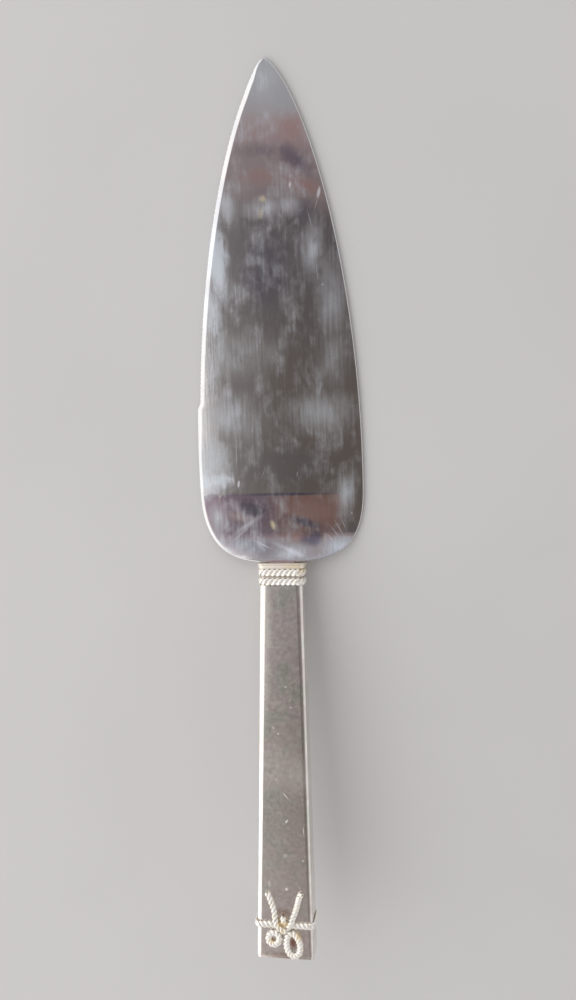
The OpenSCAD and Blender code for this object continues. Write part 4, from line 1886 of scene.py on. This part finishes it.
def curve_through(points: tuple[Spot, ...], closed: bool, steps: int) -> list[Spot]:
    """Lead a smooth curve through some places.

    Args:
        points: The places.
        closed: Whether it returns to the first.
        steps: How many steps lie between two places.

    Returns:
        Places along the curve.
    """
    count = len(points)

    def near(i: int) -> Vector:
        """Give a place by its number, past either end too."""
        return Vector(points[i % count] if closed else points[min(count - 1, max(0, i))])

    line = []
    for i in range(count if closed else count - 1):
        a, b, c, d = (near(i + k) for k in (-1, 0, 1, 2))
        for t in spread(0.0, 1.0, steps, last=False):
            bend = (2 * a - 5 * b + 4 * c - d) * t * t + (3 * b - a - 3 * c + d) * t**3
            line.append(tuple(0.5 * (2 * b + (c - a) * t + bend)))
    if not closed:
        line.append(points[-1])
    return line


# ---- the studio


@dataclass
class Studio:
    """A pale floor, a large soft lamp on the left, a grey ceiling and the camera."""

    floor_colour: Colour = (0.68, 0.67, 0.66)
    pale: Colour = (0.78, 0.78, 0.78)
    lamp_power: float = 8.2
    lamp_long: float = 2.4
    lamp_wide: float = 1.3
    lamp_distance: float = 0.85
    lamp_height: float = 38.0
    lens: float = 31.2
    eye: Point = (0.04314, 0.05529, 0.27551)
    look: Point = (-10.43, 8.10, -2.21)

    def floor(self) -> None:
        """Lay the floor on which the object rests."""
        reach = 4.0
        mesh = bpy.data.meshes.new("floor")
        z = CAD_BOX[0].z - 0.02 * MM
        corners = [(-reach, -reach, z), (reach, -reach, z), (reach, reach, z), (-reach, reach, z)]
        mesh.from_pydata(corners, [], [(0, 1, 2, 3)])
        material = bpy.data.materials.new("pale_floor")
        material.use_nodes = True
        graph = Graph(material.node_tree)
        shader = material.node_tree.nodes["Principled BSDF"]
        place = graph.place((0.0, 0.0, 0.0))
        tone = graph.noise(place, 0.01, 3.0).ease(0.3, 0.7)
        darker = tuple(0.97 * part for part in self.floor_colour)
        graph.mix(tone, self.floor_colour, darker).feed(shader.inputs["Base Color"])
        shader.inputs["Roughness"].default_value = 0.9
        shader.inputs["Specular IOR Level"].default_value = 0.1
        floor = bpy.data.objects.new("floor", mesh)
        floor.data.materials.append(material)
        bpy.context.scene.collection.objects.link(floor)

    def lamp(self) -> None:
        """Hang the soft lamp on the left."""
        data = bpy.data.lights.new("soft_lamp", "AREA")
        data.shape = "RECTANGLE"
        data.size = self.lamp_long
        data.size_y = self.lamp_wide
        data.energy = self.lamp_power
        lamp = bpy.data.objects.new("soft_lamp", data)
        angle = math.radians(self.lamp_height)
        away = Vector((-math.cos(angle), 0.0, math.sin(angle)))
        lamp.location = away * self.lamp_distance
        lamp.rotation_euler = (-away).to_track_quat("-Z", "Y").to_euler()
        lamp.visible_camera = False
        bpy.context.scene.collection.objects.link(lamp)

    def world(self) -> None:
        """Build the room: pale walls and a grey ceiling with soft brown and violet parts."""
        world = bpy.data.worlds.new("room")
        bpy.context.scene.world = world
        world.use_nodes = True
        graph = Graph(world.node_tree)
        way = graph.wire(graph.add("ShaderNodeTexCoord"), "Generated")
        x, y, z = way.parts()
        up = z.maths("MAXIMUM", 0.05)
        across = x / up
        along = y / up + across * 0.091
        ramp = graph.add("ShaderNodeValToRGB")
        stops = (
            (-0.60, (0.42, 0.39, 0.39)),
            (-0.36, (0.36, 0.31, 0.30)),
            (-0.26, (0.24, 0.20, 0.19)),
            (-0.19, (0.14, 0.12, 0.11)),
            (-0.05, (0.15, 0.13, 0.12)),
            (0.06, (0.14, 0.125, 0.13)),
            (0.128, (0.13, 0.115, 0.125)),
            (0.148, (0.27, 0.22, 0.23)),
            (0.195, (0.31, 0.25, 0.26)),
            (0.215, (0.40, 0.30, 0.31)),
            (0.231, (0.44, 0.33, 0.34)),
            (0.240, (0.44, 0.45, 0.48)),
            (0.80, (0.48, 0.48, 0.54)),
        )
        low, high = -0.6, 0.8
        steps = ramp.color_ramp.elements
        for place, colour in stops:
            share = (place - low) / (high - low)
            step = steps.new(share) if 0 < share < 1 else steps[0 if share <= 0 else -1]
            step.color = (*colour, 1.0)
        (((along - low) / (high - low))).feed(ramp.inputs[0])
        haze = across.ease(-0.12, -0.34, 0.8)
        ceiling = graph.mix(haze, graph.wire(ramp), (0.52, 0.50, 0.51))
        walls = z.ease(0.8, 0.62)
        colour = graph.mix(walls, ceiling, self.pale)
        light = world.node_tree.nodes["Background"]
        colour.feed(light.inputs["Color"])
        light.inputs["Strength"].default_value = 1.0

    def camera(self) -> None:
        """Set the camera above the blade, a little to the right."""
        data = bpy.data.cameras.new("camera")
        data.lens = self.lens
        data.sensor_width = 36.0
        data.dof.use_dof = False
        camera = bpy.data.objects.new("camera", data)
        camera.location = self.eye
        camera.rotation_euler = tuple(math.radians(angle) for angle in self.look)
        bpy.context.scene.collection.objects.link(camera)
        bpy.context.scene.camera = camera

    def build(self) -> None:
        """Set up everything round the object."""
        self.floor()
        self.lamp()
        self.world()
        self.camera()
        bpy.context.scene.view_settings.view_transform = "Standard"


@dataclass
class CakeServer:
    """The whole cake server."""

    blade_length: float = 154.0
    axis_z: float = 4.636
    rise: float = 10.0

    def build(self) -> None:
        """Build each sub-assembly in order and dress it."""
        heel_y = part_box("blade")[1].y - self.blade_length * MM
        heel = (0.0, heel_y, 0.0)
        front = (0.0, heel_y, self.axis_z * MM)
        lean = math.radians(self.rise)
        axes = HandleFrame(heel_y, self.axis_z, self.rise)
        blade = Blade(BladeSteel("blade_steel", (0.63, 0.61, 0.6), heel), heel_y, self.axis_z, self.rise)
        blade.dress(blade.build())
        handle = Handle(HandleSilver("handle_silver", (0.9, 0.86, 0.82), front, lean), axes)
        handle.dress()
        trim = SatinTrim("collar_satin", (0.96, 0.9, 0.8), front, lean)
        collar = Collar(trim, handle)
        collar.dress()
        wire = SatinTrim("rope_wire", (1.0, 0.97, 0.92), front, lean)
        RopeTrim(wire, handle, collar, RopeTree()).dress()
        plaster = TangPlaster("tang_plaster", (0.38, 0.36, 0.33), front, lean)
        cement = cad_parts["tang_cement"]
        cement.data.materials.clear()
        cement.data.materials.append(plaster.material())
        LOG.info("%s keeps its solid, in %s", cement.name, plaster.name)


def main() -> None:
    """Build the cake server and the studio, logging each finished piece's face count."""
    logging.basicConfig(level=logging.INFO, format="%(message)s")
    CakeServer().build()
    Studio().build()


if __name__ == "__main__":
    main()
